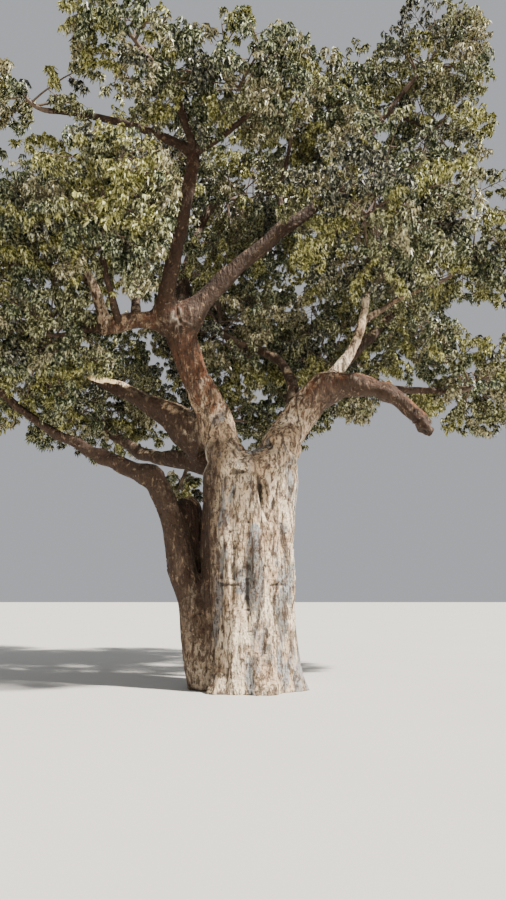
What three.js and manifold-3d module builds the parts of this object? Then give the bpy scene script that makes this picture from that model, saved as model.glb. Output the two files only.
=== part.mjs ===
// A baobab standing on level ground: a thick fluted column, a slimmer stem grown into its left side,
// boughs that fork from the column's top, and the masses of foliage that their tips carry.
//
// Lengths are in millimetres and angles in degrees. X runs to the right of the tree's front, Y to its
// back and Z up. The origin is the middle of the column's foot, on the ground. A heading of 0 points
// along X and one of 90 along Y, and a rise of 90 points straight up.

import * as THREE from "three";
import Module from "manifold-3d";

const wasm = await Module();
wasm.setup();

// Clearances
const TOUCH_GAP = 0.3; // between two pieces that meet
const LEAF_TO_LIMB = 110; // between a leaf and any limb
const TWIG_TO_LIMB = 45; // between a twig and any limb
const ROOM_MARGIN = 0.04; // between two masses, as a share of their radii

// The column, from its foot to the crotch
const COLUMN_STATIONS = [
  { height: 0, middle: 20, half: 835 },
  { height: 450, middle: 45, half: 795 },
  { height: 1500, middle: 0, half: 795 },
  { height: 2900, middle: 10, half: 825 },
  { height: 3700, middle: 35, half: 880 },
  { height: 4000, middle: 70, half: 850 },
];
const COLUMN_SIDES = 24;
const COLUMN_RINGS = 9;
const COLUMN_FLATNESS = 0.92; // front to back against side to side
const SHOULDER_HEIGHT = 4000; // where the column starts to close
const CROTCH_HEIGHT = 4180;
const SHOULDER_RINGS = 2;
const FLUTES = 7;
const FLUTE_DEPTH = 22;
const FLUTE_LEAN = 12; // how far a flute wanders round the column for each metre of height
const ROOT_HEADINGS = [-128, -78, -14, 42, 104, 152];
const ROOT_REACH = 190; // how far a root's shoulder stands out at the ground
const ROOT_HALF_WIDTH = 17;
const ROOT_FADE = 330; // the height over which a shoulder dies away
const FOLD_TOP_HEADING = -84; // the fold that runs down from the crotch, at its top
const FOLD_FOOT_HEADING = -60;
const FOLD_FOOT_HEIGHT = 2500;
const FOLD_DEPTH = 170;
const FOLD_HALF_WIDTH = 11;

// Each limb leaves its parent at a share of the parent's length, or the trunk at a start point. It
// turns evenly from its first heading and rise to its last, and its radii are evenly spread along it.
// The rooted share of a limb that leaves the trunk belongs to the trunk. All of the web does: it is
// old wood, set back between the column and the side stem, that closes the cleft between them.
const LIMBS = [
  { name: "side_stem", start: [-742, -100, -120], rooted: 0.12,
    heading: [-197, -173], rise: [85, 66], length: 4010, radii: [310, 285, 262, 248, 238, 205] },
  { name: "web", start: [-800, 200, -100], rooted: 1,
    heading: [150, 168], rise: [86, 81], length: 3250, radii: [250, 240, 250, 275, 270] },
  { name: "left_limb", from: "side_stem", at: 0.985,
    heading: [172, 170], rise: [18, 44], length: 4260, radii: [175, 128, 100, 80, 62] },
  { name: "left_bough", start: [-220, 0, 3740], rooted: 0.26,
    heading: [-170, -153], rise: [65, 71], length: 3090, radii: [425, 340, 285, 255, 265, 285] },
  { name: "left_arm", from: "left_bough", at: 0.97,
    heading: [-171, -169], rise: [18, -31], length: 1430, radii: [245, 172, 165, 170, 130] },
  { name: "upright", from: "left_arm", at: 0.2,
    heading: [-81, 4], rise: [58, 89], length: 3320, radii: [200, 160, 140, 130, 122, 122] },
  { name: "upright_left", from: "upright", at: 0.99,
    heading: [-160, -158], rise: [19, -13], length: 2650, radii: [95, 72, 58, 45] },
  { name: "upright_top", from: "upright", at: 0.99,
    heading: [-98, -115], rise: [24, -2], length: 1970, radii: [92, 70, 56, 45] },
  { name: "upright_right", from: "upright", at: 0.99,
    heading: [-39, -33], rise: [-8, 27], length: 1290, radii: [78, 55, 42] },
  { name: "right_arm", from: "left_bough", at: 0.97,
    heading: [-6, -3], rise: [50, 34], length: 3920, radii: [255, 185, 162, 152, 130, 105] },
  { name: "arm_riser", from: "right_arm", at: 0.72,
    heading: [166, -40], rise: [77, 78], length: 1910, radii: [72, 52, 40] },
  { name: "arm_front", from: "right_arm", at: 0.95,
    heading: [-46, -47], rise: [-38, -45], length: 900, radii: [70, 55, 45] },
  { name: "peak_limb", from: "right_arm", at: 0.99,
    heading: [40, 13], rise: [58, 56], length: 3660, radii: [98, 82, 68, 55] },
  { name: "right_fan", from: "peak_limb", at: 0.79,
    heading: [26, 27], rise: [14, -14], length: 880, radii: [56, 44, 36] },
  { name: "left_arm_up", from: "left_arm", at: 0.97,
    heading: [-165, -149], rise: [78, 57], length: 1320, radii: [122, 95, 70] },
  { name: "arm_drop", from: "left_arm", at: 0.97,
    heading: [-175, -192], rise: [0, -12], length: 660, radii: [85, 60, 50] },
  { name: "left_out", from: "left_arm_up", at: 0.68,
    heading: [-182, -191], rise: [34, -3], length: 1800, radii: [72, 56, 45] },
  { name: "arm_fore", from: "left_arm", at: 0.79,
    heading: [-91, -98], rise: [13, 50], length: 1670, radii: [82, 60, 45] },
  { name: "arm_back", from: "left_arm", at: 0.58,
    heading: [102, 107], rise: [50, 58], length: 3330, radii: [105, 85, 70, 58] },
  { name: "broken_bough", start: [-690, 200, 4330], rooted: 0.14,
    heading: [164, 178], rise: [38, 25], length: 2960, radii: [420, 345, 260, 205, 145, 60] },
  { name: "back_left", start: [-640, 400, 4060], rooted: 0.16,
    heading: [143, 140], rise: [4, 33], length: 3420, radii: [265, 185, 145, 115, 92] },
  { name: "back_sprout", from: "back_left", at: 0.2,
    heading: [102, 117], rise: [-16, -43], length: 500, radii: [55, 42, 34] },
  { name: "right_bough", start: [370, 0, 3740], rooted: 0.3,
    heading: [0, 0], rise: [72, 44], length: 1970, radii: [425, 345, 310, 312, 300] },
  { name: "right_stub", from: "right_bough", at: 0.95,
    heading: [1, -8], rise: [25, -22], length: 1180, radii: [275, 205, 222, 150] },
  { name: "right_stub_end", from: "right_stub", at: 1,
    heading: [-8, -17], rise: [-22, -68], length: 1180, radii: [150, 138, 145, 150] },
  { name: "pale_limb", from: "right_bough", at: 0.98,
    heading: [5, 32], rise: [46, 82], length: 2400, radii: [172, 110, 88, 70] },
  { name: "pale_side", from: "pale_limb", at: 0.72,
    heading: [10, 12], rise: [39, 23], length: 1780, radii: [66, 52, 44] },
  { name: "right_reach", from: "right_stub", at: 0.76,
    heading: [42, 16], rise: [7, 5], length: 2370, radii: [105, 75, 52] },
  { name: "back_arch", from: "right_bough", at: 0.42,
    heading: [48, 164], rise: [74, 24], length: 3300, radii: [165, 118, 95, 78] },
  { name: "back_rise", start: [-430, 430, 4150], rooted: 0.1,
    heading: [172, 42], rise: [68, 66], length: 7000, radii: [270, 200, 160, 125, 92] },
  { name: "back_mid", from: "back_rise", at: 0.3,
    heading: [84, 80], rise: [2, -6], length: 1900, radii: [95, 70, 52] },
  { name: "back_right", from: "right_bough", at: 0.9,
    heading: [63, 39], rise: [36, 43], length: 4780, radii: [205, 145, 115, 85] },
  { name: "back_low", from: "back_right", at: 0.35,
    heading: [92, 91], rise: [-12, -8], length: 1280, radii: [72, 55, 46] },
  { name: "peak_side", from: "peak_limb", at: 0.5,
    heading: [170, 160], rise: [62, 70], length: 760, radii: [58, 48, 40] },
];
// The share of these limbs, from the root, that shows bare from the front, as the whole column does.
const BARE_SHARES = {
  side_stem: 1,
  left_limb: 1,
  left_bough: 1,
  upright: 0.97,
  right_arm: 0.88,
  left_arm: 1,
  left_arm_up: 0.8,
  broken_bough: 1,
  right_bough: 1,
  right_stub: 1,
  right_stub_end: 1,
  pale_limb: 0.75,
};
const FRONT_SPOT = [90, -12300, 1600]; // where the front is seen from, at the height of the eyes
const BARE_MARGIN = 100; // between a leaf and the edge of what shows bare
const BARE_SPACING = 130; // between the spots that stand for a bare limb
const LIMB_STEPS = 12; // even steps in a limb's walk
const THICK_LIMB = 200; // a root radius from which a limb has more sides and rings
const THICK_SIDES = 8;
const THICK_RINGS = 7;
const SLIM_SIDES = 6;
const SLIM_RINGS = 4;

// The middle of each mass lies at its reach from the tip of its limb, in the direction given. Its size
// is the radii of its room along X, Y and Z, which its neighbours' rooms cut back where they meet.
const MASSES = [
  { name: "top_left", on: "upright_top", heading: -136, rise: 28, reach: 640, size: [900, 950, 1150], twigs: 4 },
  { name: "left_high", on: "upright_left", heading: -161, rise: 33, reach: 620, size: [1600, 1100, 520], twigs: 4 },
  { name: "crown_front", on: "upright_right", heading: -136, rise: 36, reach: 730, size: [1800, 1150, 1050] },
  { name: "crown_mid", on: "arm_riser", heading: 22, rise: 71, reach: 1100, size: [1450, 1400, 1050] },
  { name: "peak", on: "peak_limb", heading: 16, rise: 53, reach: 1150, size: [1400, 1300, 1400] },
  { name: "right_high", on: "right_fan", heading: 35, rise: -2, reach: 560, size: [1150, 1600, 1450] },
  { name: "right_front", on: "arm_front", heading: -62, rise: -17, reach: 770, size: [1800, 1700, 1500] },
  { name: "pale_limb", on: "pale_limb", heading: 28, rise: 67, reach: 1760, size: [1800, 1900, 2000] },
  { name: "right_far", on: "pale_side", heading: 5, rise: 41, reach: 1440, size: [1450, 1900, 1300], twigs: 4 },
  { name: "right_low", on: "right_reach", heading: 19, rise: 24, reach: 650, size: [1650, 1900, 1000] },
  { name: "back_right", on: "back_right", heading: 73, rise: 33, reach: 1060, size: [1700, 1900, 2300], twigs: 4 },
  { name: "back_low", on: "back_low", heading: 117, rise: 53, reach: 1700, size: [2100, 1900, 2300] },
  { name: "back_rise", on: "back_rise", heading: 39, rise: 23, reach: 2210, size: [2500, 2000, 2400] },
  { name: "back_mid", on: "back_mid", heading: 71, rise: -7, reach: 1700, size: [1900, 1800, 1500], twigs: 4 },
  { name: "back_arch", on: "back_arch", heading: 116, rise: 41, reach: 1750, size: [2400, 2100, 2400] },
  { name: "back_left", on: "back_left", heading: 122, rise: 58, reach: 1580, size: [2200, 2100, 1850], twigs: 4 },
  { name: "between", on: "back_sprout", heading: 105, rise: -19, reach: 490, size: [520, 520, 430], twigs: 3 },
  { name: "left_limb", on: "left_limb", heading: 170, rise: 17, reach: 730, size: [1700, 2000, 1500], twigs: 4 },
  { name: "left_arm", on: "left_arm_up", heading: 159, rise: 63, reach: 1180, size: [1650, 1700, 1450] },
  { name: "left_low", on: "arm_drop", heading: 176, rise: 5, reach: 750, size: [1800, 1800, 1750], twigs: 4 },
  { name: "left_back", on: "arm_back", heading: 70, rise: 67, reach: 2570, size: [2200, 2100, 2350], twigs: 4 },
  { name: "left_out", on: "left_out", heading: 173, rise: 41, reach: 1100, size: [1750, 2100, 1900] },
  { name: "left_fore", on: "arm_fore", heading: -62, rise: 13, reach: 880, size: [1350, 1300, 1350] },
  { name: "peak_side", on: "peak_side", heading: 64, rise: 71, reach: 840, size: [800, 1000, 1000], twigs: 4 },
];
const STEM_SIDES = 3;
const STEM_RINGS = 2;
const STEM_END_RADIUS = 26;
const STEM_FIRST_FORK = 0.4; // the share of the stem at which its first twig may leave
const TWIGS = 5; // in one mass that names no number of its own
const TWIG_REACHES = [0.66, 0.52, 0.4, 0.3]; // how far out in its room a twig goes, the first that is free
const TWIG_ARCH = 0.14; // how high a twig arches, as a share of its length
const TWIG_ROOT_RADIUS = 20;
const TWIG_TIP_RADIUS = 10;
const LEAF_SHARES = [0.42, 0.74, 1]; // where a twig carries its leaves
const LEAF_LENGTH = 1480;
const LEAF_OF_ROOM = 0.9; // the most of the smallest radius of its room
const LEAF_LENGTH_CHANGE = 0.16; // how much longer or shorter than that a leaf may be
const LEAF_WIDTH = 0.86; // against its length
const LEAF_THICKNESS = 0.03; // against its length
const LEAF_WIDEST = 0.45; // the share of its length at which a leaf is widest
const LEAF_SUNK = 6; // how far its root passes through the twig
const LEAF_SPREAD = 58; // how far it turns off the twig
const LEAF_DROOP = 16;
const LEAF_TRIES = 30; // turns tried before a leaf is skipped
const LEAF_SHRINK = 0.015; // how much shorter each new try is
const ROOM_MOST = 1; // the outermost place of a leaf in its room

const BARK = { color: 0x8f7d6b, roughness: 0.9, metalness: 0 };
const FOLIAGE = { color: 0x4c5a2a, roughness: 0.6, metalness: 0 };

const UP = new THREE.Vector3(0, 0, 1);
const GOLDEN_ANGLE = Math.PI * (3 - Math.sqrt(5));
const { degToRad, lerp, smoothstep } = THREE.MathUtils;

// Small helpers

function direction(heading, rise) {
  const turn = degToRad(heading);
  const lift = degToRad(rise);
  return new THREE.Vector3(Math.cos(lift) * Math.cos(turn), Math.cos(lift) * Math.sin(turn), Math.sin(lift));
}

// A stream of even draws between 0 and 1 that is the same for the same seed.
function drawsFrom(seed) {
  let state = seed >>> 0;
  return () => {
    state = (state + 0x6d2b79f5) >>> 0;
    let mix = state;
    mix = Math.imul(mix ^ (mix >>> 15), mix | 1);
    mix ^= mix + Math.imul(mix ^ (mix >>> 7), mix | 61);
    return ((mix ^ (mix >>> 14)) >>> 0) / 4294967296;
  };
}

function evenlySpread(values, share) {
  const place = THREE.MathUtils.clamp(share, 0, 1) * (values.length - 1);
  const below = Math.min(Math.floor(place), values.length - 2);
  return lerp(values[below], values[below + 1], place - below);
}

// Solids

function solidFrom(points, faces) {
  const vertProperties = new Float32Array(points.flatMap((point) => point.toArray()));
  const triVerts = new Uint32Array(faces);
  return new wasm.Manifold(new wasm.Mesh({ numProp: 3, vertProperties, triVerts }));
}

// Skins a row of rings that all have the same number of points. A hub closes each end with a fan
// round its middle, as an end that isn't convex needs.
function loft(rings, withHubs = false) {
  const sides = rings[0].length;
  const points = rings.flat();
  const faces = [];
  for (let ring = 0; ring + 1 < rings.length; ring++) {
    for (let side = 0; side < sides; side++) {
      const here = ring * sides + side;
      const next = ring * sides + ((side + 1) % sides);
      faces.push(here, next, next + sides, here, next + sides, here + sides);
    }
  }
  const head = (rings.length - 1) * sides;
  if (withHubs) {
    points.push(middleOf(rings[0]), middleOf(rings[rings.length - 1]));
    for (let side = 0; side < sides; side++) {
      const next = (side + 1) % sides;
      faces.push(points.length - 2, next, side, points.length - 1, head + side, head + next);
    }
  } else {
    for (let side = 1; side + 1 < sides; side++) {
      faces.push(0, side + 1, side, head, head + side, head + side + 1);
    }
  }
  return solidFrom(points, faces);
}

function middleOf(ring) {
  const middle = new THREE.Vector3();
  ring.forEach((point) => middle.add(point));
  return middle.divideScalar(ring.length);
}

// Rings square to a path. A ring of few sides is drawn a little larger, so that it keeps the area of
// the round section that it stands for.
function ringsAlong(places, sides, sideways) {
  const sameArea = Math.sqrt((2 * Math.PI) / (sides * Math.sin((2 * Math.PI) / sides)));
  let across = sideways.clone();
  return places.map(({ middle, along, radius, grown }) => {
    across = across.clone().projectOnPlane(along).normalize();
    const third = along.clone().cross(across);
    const reach = radius * sameArea + (grown ?? 0);
    return Array.from({ length: sides }, (_, side) => {
      const angle = (2 * Math.PI * side) / sides;
      return middle
        .clone()
        .addScaledVector(across, reach * Math.cos(angle))
        .addScaledVector(third, reach * Math.sin(angle));
    });
  });
}

function join(solids) {
  return wasm.Manifold.union(solids);
}

// The largest body alone: loose scraps go, and so do the walls of hollows that joining sealed.
function largestBody(solid) {
  const bodies = solid.decompose();
  return bodies.reduce((best, body) => (body.volume() > best.volume() ? body : best));
}

function boxesMeet(one, other) {
  const a = one.boundingBox();
  const b = other.boundingBox();
  return [0, 1, 2].every((axis) => a.min[axis] <= b.max[axis] && b.min[axis] <= a.max[axis]);
}

function cutClear(solid, others) {
  const near = others.filter((other) => boxesMeet(solid, other));
  return near.length ? largestBody(solid.subtract(join(near))) : solid;
}

// The column

function columnStation(height) {
  const above = Math.max(1, COLUMN_STATIONS.findIndex((station) => station.height >= height));
  const upper = COLUMN_STATIONS[above];
  const lower = COLUMN_STATIONS[above - 1];
  const share = smoothstep(height, lower.height, upper.height);
  return { middle: lerp(lower.middle, upper.middle, share), half: lerp(lower.half, upper.half, share) };
}

function bump(angle, middle, halfWidth) {
  const off = THREE.MathUtils.euclideanModulo(angle - middle + 180, 360) - 180;
  return Math.exp(-((off / halfWidth) ** 2));
}

function columnReach(heading, height) {
  const { half } = columnStation(Math.min(height, SHOULDER_HEIGHT));
  const flute = FLUTE_DEPTH * Math.cos(degToRad(FLUTES * (heading + (FLUTE_LEAN * height) / 1000)));
  const rootFade = Math.exp(-height / ROOT_FADE);
  const root = Math.max(...ROOT_HEADINGS.map((at) => bump(heading, at, ROOT_HALF_WIDTH)));
  const foldShare = smoothstep(height, FOLD_FOOT_HEIGHT, CROTCH_HEIGHT);
  const foldHeading = lerp(FOLD_FOOT_HEADING, FOLD_TOP_HEADING, foldShare);
  const folds = bump(heading, foldHeading, FOLD_HALF_WIDTH) + bump(heading, -foldHeading, FOLD_HALF_WIDTH);
  return half + flute + root * ROOT_REACH * rootFade - folds * FOLD_DEPTH * foldShare;
}

function columnSolid(grown) {
  const levels = [];
  for (let ring = 0; ring <= COLUMN_RINGS; ring++) {
    levels.push({ height: SHOULDER_HEIGHT * (ring / COLUMN_RINGS) ** 1.35, drawnIn: 1 });
  }
  for (let ring = 1; ring <= SHOULDER_RINGS; ring++) {
    const angle = (Math.PI / 2) * (ring / (SHOULDER_RINGS + 0.4));
    const height = lerp(SHOULDER_HEIGHT, CROTCH_HEIGHT, Math.sin(angle));
    levels.push({ height, drawnIn: Math.cos(angle) });
  }
  const rings = levels.map(({ height, drawnIn }, level) => {
    const { middle } = columnStation(Math.min(height, SHOULDER_HEIGHT));
    const top = level === levels.length - 1 ? grown : 0;
    return Array.from({ length: COLUMN_SIDES }, (_, side) => {
      const heading = (360 * side) / COLUMN_SIDES;
      const reach = columnReach(heading, height) * drawnIn + grown;
      const turn = degToRad(heading);
      return new THREE.Vector3(
        middle + reach * Math.cos(turn),
        reach * COLUMN_FLATNESS * Math.sin(turn),
        height + top,
      );
    });
  });
  return loft(rings, true);
}

// The limbs

function walkLimb(limb, walks) {
  const parent = walks.get(limb.from);
  const start = parent ? pointAlong(parent, limb.at) : new THREE.Vector3(...limb.start);
  const step = limb.length / LIMB_STEPS;
  const points = [start];
  for (let count = 0; count < LIMB_STEPS; count++) {
    const along = directionAlong(limb, (count + 0.5) / LIMB_STEPS);
    points.push(points[count].clone().addScaledVector(along, step));
  }
  return { ...limb, points };
}

function directionAlong(limb, share) {
  return direction(lerp(...limb.heading, share), lerp(...limb.rise, share));
}

function pointAlong(walk, share) {
  const place = THREE.MathUtils.clamp(share, 0, 1) * LIMB_STEPS;
  const below = Math.min(Math.floor(place), LIMB_STEPS - 1);
  return walk.points[below].clone().lerp(walk.points[below + 1], place - below);
}

// The stretch of a limb between two shares of its length, its skin and its ends moved out by grown.
function limbSolid(walk, first, last, grown = 0) {
  const thick = walk.radii[0] >= THICK_LIMB;
  const rings = Math.max(2, Math.round((thick ? THICK_RINGS : SLIM_RINGS) * (last - first)));
  const places = [];
  for (let ring = 0; ring <= rings; ring++) {
    const share = lerp(first, last, ring / rings);
    const along = directionAlong(walk, share);
    const middle = pointAlong(walk, share);
    if (ring === 0) middle.addScaledVector(along, first > 0 ? TOUCH_GAP - grown : -grown);
    if (ring === rings) middle.addScaledVector(along, grown);
    places.push({ middle, along, radius: evenlySpread(walk.radii, share), grown });
  }
  const sideways = new THREE.Vector3(0, 1, 0);
  return loft(ringsAlong(places, thick ? THICK_SIDES : SLIM_SIDES, sideways));
}

// The trunk: the column with the rooted stretch of every limb that leaves it, cut flat at the ground.
function trunkSolid(walks, grown = 0) {
  const rooted = [...walks.values()].filter((walk) => !walk.from);
  const stubs = rooted.map((walk) => limbSolid(walk, 0, walk.rooted, grown));
  return join([columnSolid(grown), ...stubs]).trimByPlane([0, 0, 1], 0);
}

// The masses

// A stem leaves the flat tip of its limb and bends to the middle of its room.
function stemOf(mass, walks) {
  const limb = walks.get(mass.on);
  const out = directionAlong(limb, 1);
  const tip = pointAlong(limb, 1).addScaledVector(out, TOUCH_GAP);
  const middle = tip.clone().addScaledVector(direction(mass.heading, mass.rise), mass.reach);
  const bend = tip.clone().addScaledVector(out, mass.reach / 2);
  const path = new THREE.QuadraticBezierCurve3(tip, bend, middle);
  return { path, middle, rootRadius: 0.92 * limb.radii[limb.radii.length - 1] };
}

function stemRadius(stem, share) {
  return lerp(stem.rootRadius, STEM_END_RADIUS, share);
}

// Straight stretches with the radius that leaves and twigs keep away from.
function stretchesOfLimb(walk) {
  return walk.points.slice(1).map((end, index) => ({
    start: walk.points[index],
    end,
    radius: evenlySpread(walk.radii, index / LIMB_STEPS),
  }));
}

function stretchesOfStem(stem) {
  const places = stem.path.getPoints(STEM_RINGS);
  return places.slice(1).map((end, index) => ({
    start: places[index],
    end,
    radius: stemRadius(stem, index / STEM_RINGS),
  }));
}

const nearest = new THREE.Vector3();

function clearOf(stretches, point, distance) {
  return stretches.every(({ start, end, radius }) => {
    new THREE.Line3(start, end).closestPointToPoint(point, true, nearest);
    return nearest.distanceTo(point) > radius + distance;
  });
}

// Round spots along all that shows bare, each with the line on which it is seen from the front.
function bareSpots(walks) {
  const front = new THREE.Vector3(...FRONT_SPOT);
  const spots = [];
  const addSpot = (middle, radius) => spots.push({ sight: new THREE.Line3(front, middle), radius });
  for (let height = 0; height <= SHOULDER_HEIGHT; height += BARE_SPACING) {
    const { middle, half } = columnStation(height);
    addSpot(new THREE.Vector3(middle, 0, height), half);
  }
  for (const [name, bareShare] of Object.entries(BARE_SHARES)) {
    const walk = walks.get(name);
    const steps = Math.ceil((walk.length * bareShare) / BARE_SPACING);
    for (let step = 0; step <= steps; step++) {
      const share = (bareShare * step) / steps;
      addSpot(pointAlong(walk, share), evenlySpread(walk.radii, share));
    }
  }
  return spots;
}

function hidesNothingBare(spots, point) {
  return spots.every(({ sight, radius }) => {
    const share = sight.closestPointToPointParameter(point, true);
    if (share === 1) return true;
    return sight.at(share, nearest).distanceTo(point) > share * radius + BARE_MARGIN;
  });
}

function shareOfRoom(room, point) {
  const [x, y, z] = room.size;
  return Math.hypot(
    (point.x - room.middle.x) / x,
    (point.y - room.middle.y) / y,
    (point.z - room.middle.z) / z,
  );
}

// A mass owns the part of its room that lies nearer to its own middle than to any other's, with
// distances counted in radii.
function inOwnRoom(room, rooms, point) {
  const own = shareOfRoom(room, point);
  if (own > ROOM_MOST) return false;
  return rooms.every((other) => other === room || own + ROOM_MARGIN < shareOfRoom(other, point));
}

function leafPoints({ root, along, across, length }) {
  const half = (length * LEAF_WIDTH) / 2;
  const points = [root.clone().addScaledVector(along, length)];
  for (const share of [0.25, LEAF_WIDEST, 0.72]) {
    const wide = share < LEAF_WIDEST ? share / LEAF_WIDEST : (1 - share) / (1 - LEAF_WIDEST);
    for (const side of [-1, -0.5, 0, 0.5, 1]) {
      const point = root.clone().addScaledVector(along, share * length);
      points.push(point.addScaledVector(across, side * wide * half));
    }
  }
  return points;
}

// A blade with a pointed root and tip, widest between them, and a ridge on each face.
function leafSolid({ root, along, across, length }) {
  const half = (length * LEAF_WIDTH) / 2;
  const ridge = (length * LEAF_THICKNESS) / 2;
  const face = along.clone().cross(across);
  const waist = root.clone().addScaledVector(along, length * LEAF_WIDEST);
  const points = [
    root.clone().addScaledVector(along, -LEAF_SUNK),
    waist.clone().addScaledVector(across, half),
    waist.clone().addScaledVector(face, ridge),
    waist.clone().addScaledVector(across, -half),
    waist.clone().addScaledVector(face, -ridge),
    root.clone().addScaledVector(along, length),
  ];
  const faces = [];
  for (let corner = 1; corner <= 4; corner++) {
    const next = (corner % 4) + 1;
    faces.push(0, next, corner, 5, corner, next);
  }
  return solidFrom(points, faces);
}

// A twig leaves the stem on the side that it aims for and arches to its place in the room. A twig
// that would leave the room or touch wood is grown shorter, and is left out where that doesn't help.
function growTwig(room, index, isFree) {
  const draw = drawsFrom(room.seed * 1000 + index);
  const height = 1 - (2 * (index + 0.5)) / room.twigs;
  const around = index * GOLDEN_ANGLE + room.seed + 0.5 * (draw() - 0.5);
  const flat = Math.sqrt(1 - height * height);
  const aim = new THREE.Vector3(flat * Math.cos(around), flat * Math.sin(around), height);
  const out = room.middle.clone().sub(room.stem.path.getPoint(0)).normalize();
  const fork = lerp(STEM_FIRST_FORK, 1, 0.5 + 0.5 * aim.dot(out));
  const start = room.stem.path.getPoint(fork);
  const offset = aim.multiply(new THREE.Vector3(...room.size)).multiplyScalar(0.9 + 0.2 * draw());
  for (const reach of TWIG_REACHES) {
    const end = room.middle.clone().addScaledVector(offset, reach);
    const arch = start.distanceTo(end) * TWIG_ARCH;
    const bend = start.clone().lerp(end, 0.5).addScaledVector(UP, arch);
    const path = new THREE.QuadraticBezierCurve3(start, bend, end);
    const free = [0.35, 0.55, 0.75, 1].every((share) => isFree(path.getPoint(share), TWIG_TO_LIMB));
    if (free) return { index, draw, path };
  }
  return null;
}

// The twig's leaves turn to one side and the other. A leaf that finds no free place is left out.
function growLeaves(room, twig, twigs, leaves, keepOff, isOpen) {
  const { index, draw, path } = twig;
  LEAF_SHARES.forEach((share, place) => {
    const root = path.getPoint(share);
    const along = path.getTangent(share);
    const side = (index + place) % 2 ? 1 : -1;
    for (let attempt = 0; attempt < LEAF_TRIES; attempt++) {
      const sidestep = side * LEAF_SPREAD + 180 * (attempt % 2);
      const turn = (share === 1 ? 0 : sidestep) + (40 + 8 * attempt) * (draw() - 0.5);
      const roll = 150 * (draw() - 0.5);
      const length = room.leafLength * (1 + LEAF_LENGTH_CHANGE * (2 * draw() - 1) - LEAF_SHRINK * attempt);
      const leaf = { root, length, ...leafFacing(along, turn, roll, draw()) };
      if (leafPoints(leaf).every(isOpen) && !meetsOthers(leaf, twig, twigs, leaves, keepOff)) {
        leaves.push(leaf);
        break;
      }
    }
  });
}

function leafCorners({ root, along, across, length }) {
  const half = (length * LEAF_WIDTH) / 2;
  const waist = root.clone().addScaledVector(along, length * LEAF_WIDEST);
  return {
    root,
    tip: root.clone().addScaledVector(along, length),
    left: waist.clone().addScaledVector(across, half),
    right: waist.clone().addScaledVector(across, -half),
  };
}

const ray = new THREE.Ray();
const hit = new THREE.Vector3();

function lineMeetsLeaf(start, end, { root, tip, left, right }) {
  const reach = start.distanceTo(end);
  ray.origin.copy(start);
  ray.direction.copy(end).sub(start).normalize();
  return [left, right].some((corner) => {
    const met = ray.intersectTriangle(root, corner, tip, false, hit);
    return met !== null && hit.distanceTo(start) <= reach;
  });
}

function linesOfLeaf({ root, tip, left, right }) {
  return [[root, left], [left, tip], [tip, right], [right, root], [root, tip]];
}

function leavesMeet(one, other) {
  return (
    linesOfLeaf(one).some(([start, end]) => lineMeetsLeaf(start, end, other)) ||
    linesOfLeaf(other).some(([start, end]) => lineMeetsLeaf(start, end, one))
  );
}

// Leaves of one mass keep apart from each other, from its other twigs and from the wood.
function meetsOthers(leaf, ownTwig, twigs, leaves, keepOff) {
  const corners = leafCorners(leaf);
  const lines = twigs.filter((twig) => twig !== ownTwig).flatMap(({ path }) => {
    const [start, bend, end] = [0, 0.5, 1].map((share) => path.getPoint(share));
    return [{ start, end: bend }, { start: bend, end }];
  });
  return (
    leaves.some((other) => leavesMeet(corners, leafCorners(other))) ||
    [...lines, ...keepOff].some(({ start, end }) => lineMeetsLeaf(start, end, corners))
  );
}

function leafFacing(twigAlong, turn, roll, drop) {
  const level = twigAlong.clone().cross(UP).normalize();
  const upward = level.clone().cross(twigAlong).normalize();
  const along = twigAlong.clone().applyAxisAngle(upward, degToRad(turn));
  along.z -= Math.sin(degToRad(LEAF_DROOP)) * (0.4 + 1.2 * drop);
  along.normalize();
  const across = along.clone().cross(upward).normalize().applyAxisAngle(along, degToRad(roll));
  return { along, across };
}

function twigSolid(path) {
  const places = [0, 0.5, 1].map((share) => ({
    middle: path.getPoint(share),
    along: path.getTangent(share),
    radius: lerp(TWIG_ROOT_RADIUS, TWIG_TIP_RADIUS, share),
  }));
  return loft(ringsAlong(places, 3, new THREE.Vector3(0.31, 0.95, 0.05)));
}

function stemSolid(stem) {
  const places = [];
  for (let ring = 0; ring <= STEM_RINGS; ring++) {
    const share = ring / STEM_RINGS;
    places.push({
      middle: stem.path.getPoint(share),
      along: stem.path.getTangent(share),
      radius: stemRadius(stem, share),
    });
  }
  return loft(ringsAlong(places, STEM_SIDES, new THREE.Vector3(0, 1, 0)));
}

function massSolid(room, rooms, wood, spots) {
  const others = rooms.filter((other) => other !== room).flatMap((other) => stretchesOfStem(other.stem));
  const keepOff = [...wood, ...others];
  const isFree = (point, distance) => inOwnRoom(room, rooms, point) && clearOf(keepOff, point, distance);
  const isOpen = (point) => isFree(point, LEAF_TO_LIMB) && hidesNothingBare(spots, point);
  const twigs = Array.from({ length: room.twigs }, (_, index) => growTwig(room, index, isFree)).filter(Boolean);
  const leaves = [];
  for (const twig of twigs) growLeaves(room, twig, twigs, leaves, keepOff, isOpen);
  const branches = twigs.map((twig) => twigSolid(twig.path));
  return largestBody(join([stemSolid(room.stem), ...branches, ...leaves.map(leafSolid)]));
}

// The whole tree

function meshOf(name, solid, finish) {
  const { vertProperties, triVerts } = solid.getMesh();
  const geometry = new THREE.BufferGeometry();
  geometry.setAttribute("position", new THREE.BufferAttribute(new Float32Array(vertProperties), 3));
  geometry.setIndex(new THREE.BufferAttribute(new Uint32Array(triVerts), 1));
  const mesh = new THREE.Mesh(geometry, new THREE.MeshStandardMaterial({ ...finish, flatShading: true }));
  mesh.name = name;
  return mesh;
}

const tree = new THREE.Group();
const walks = new Map();
for (const limb of LIMBS) walks.set(limb.name, walkLimb(limb, walks));

tree.add(meshOf("trunk", trunkSolid(walks), BARK));

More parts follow.
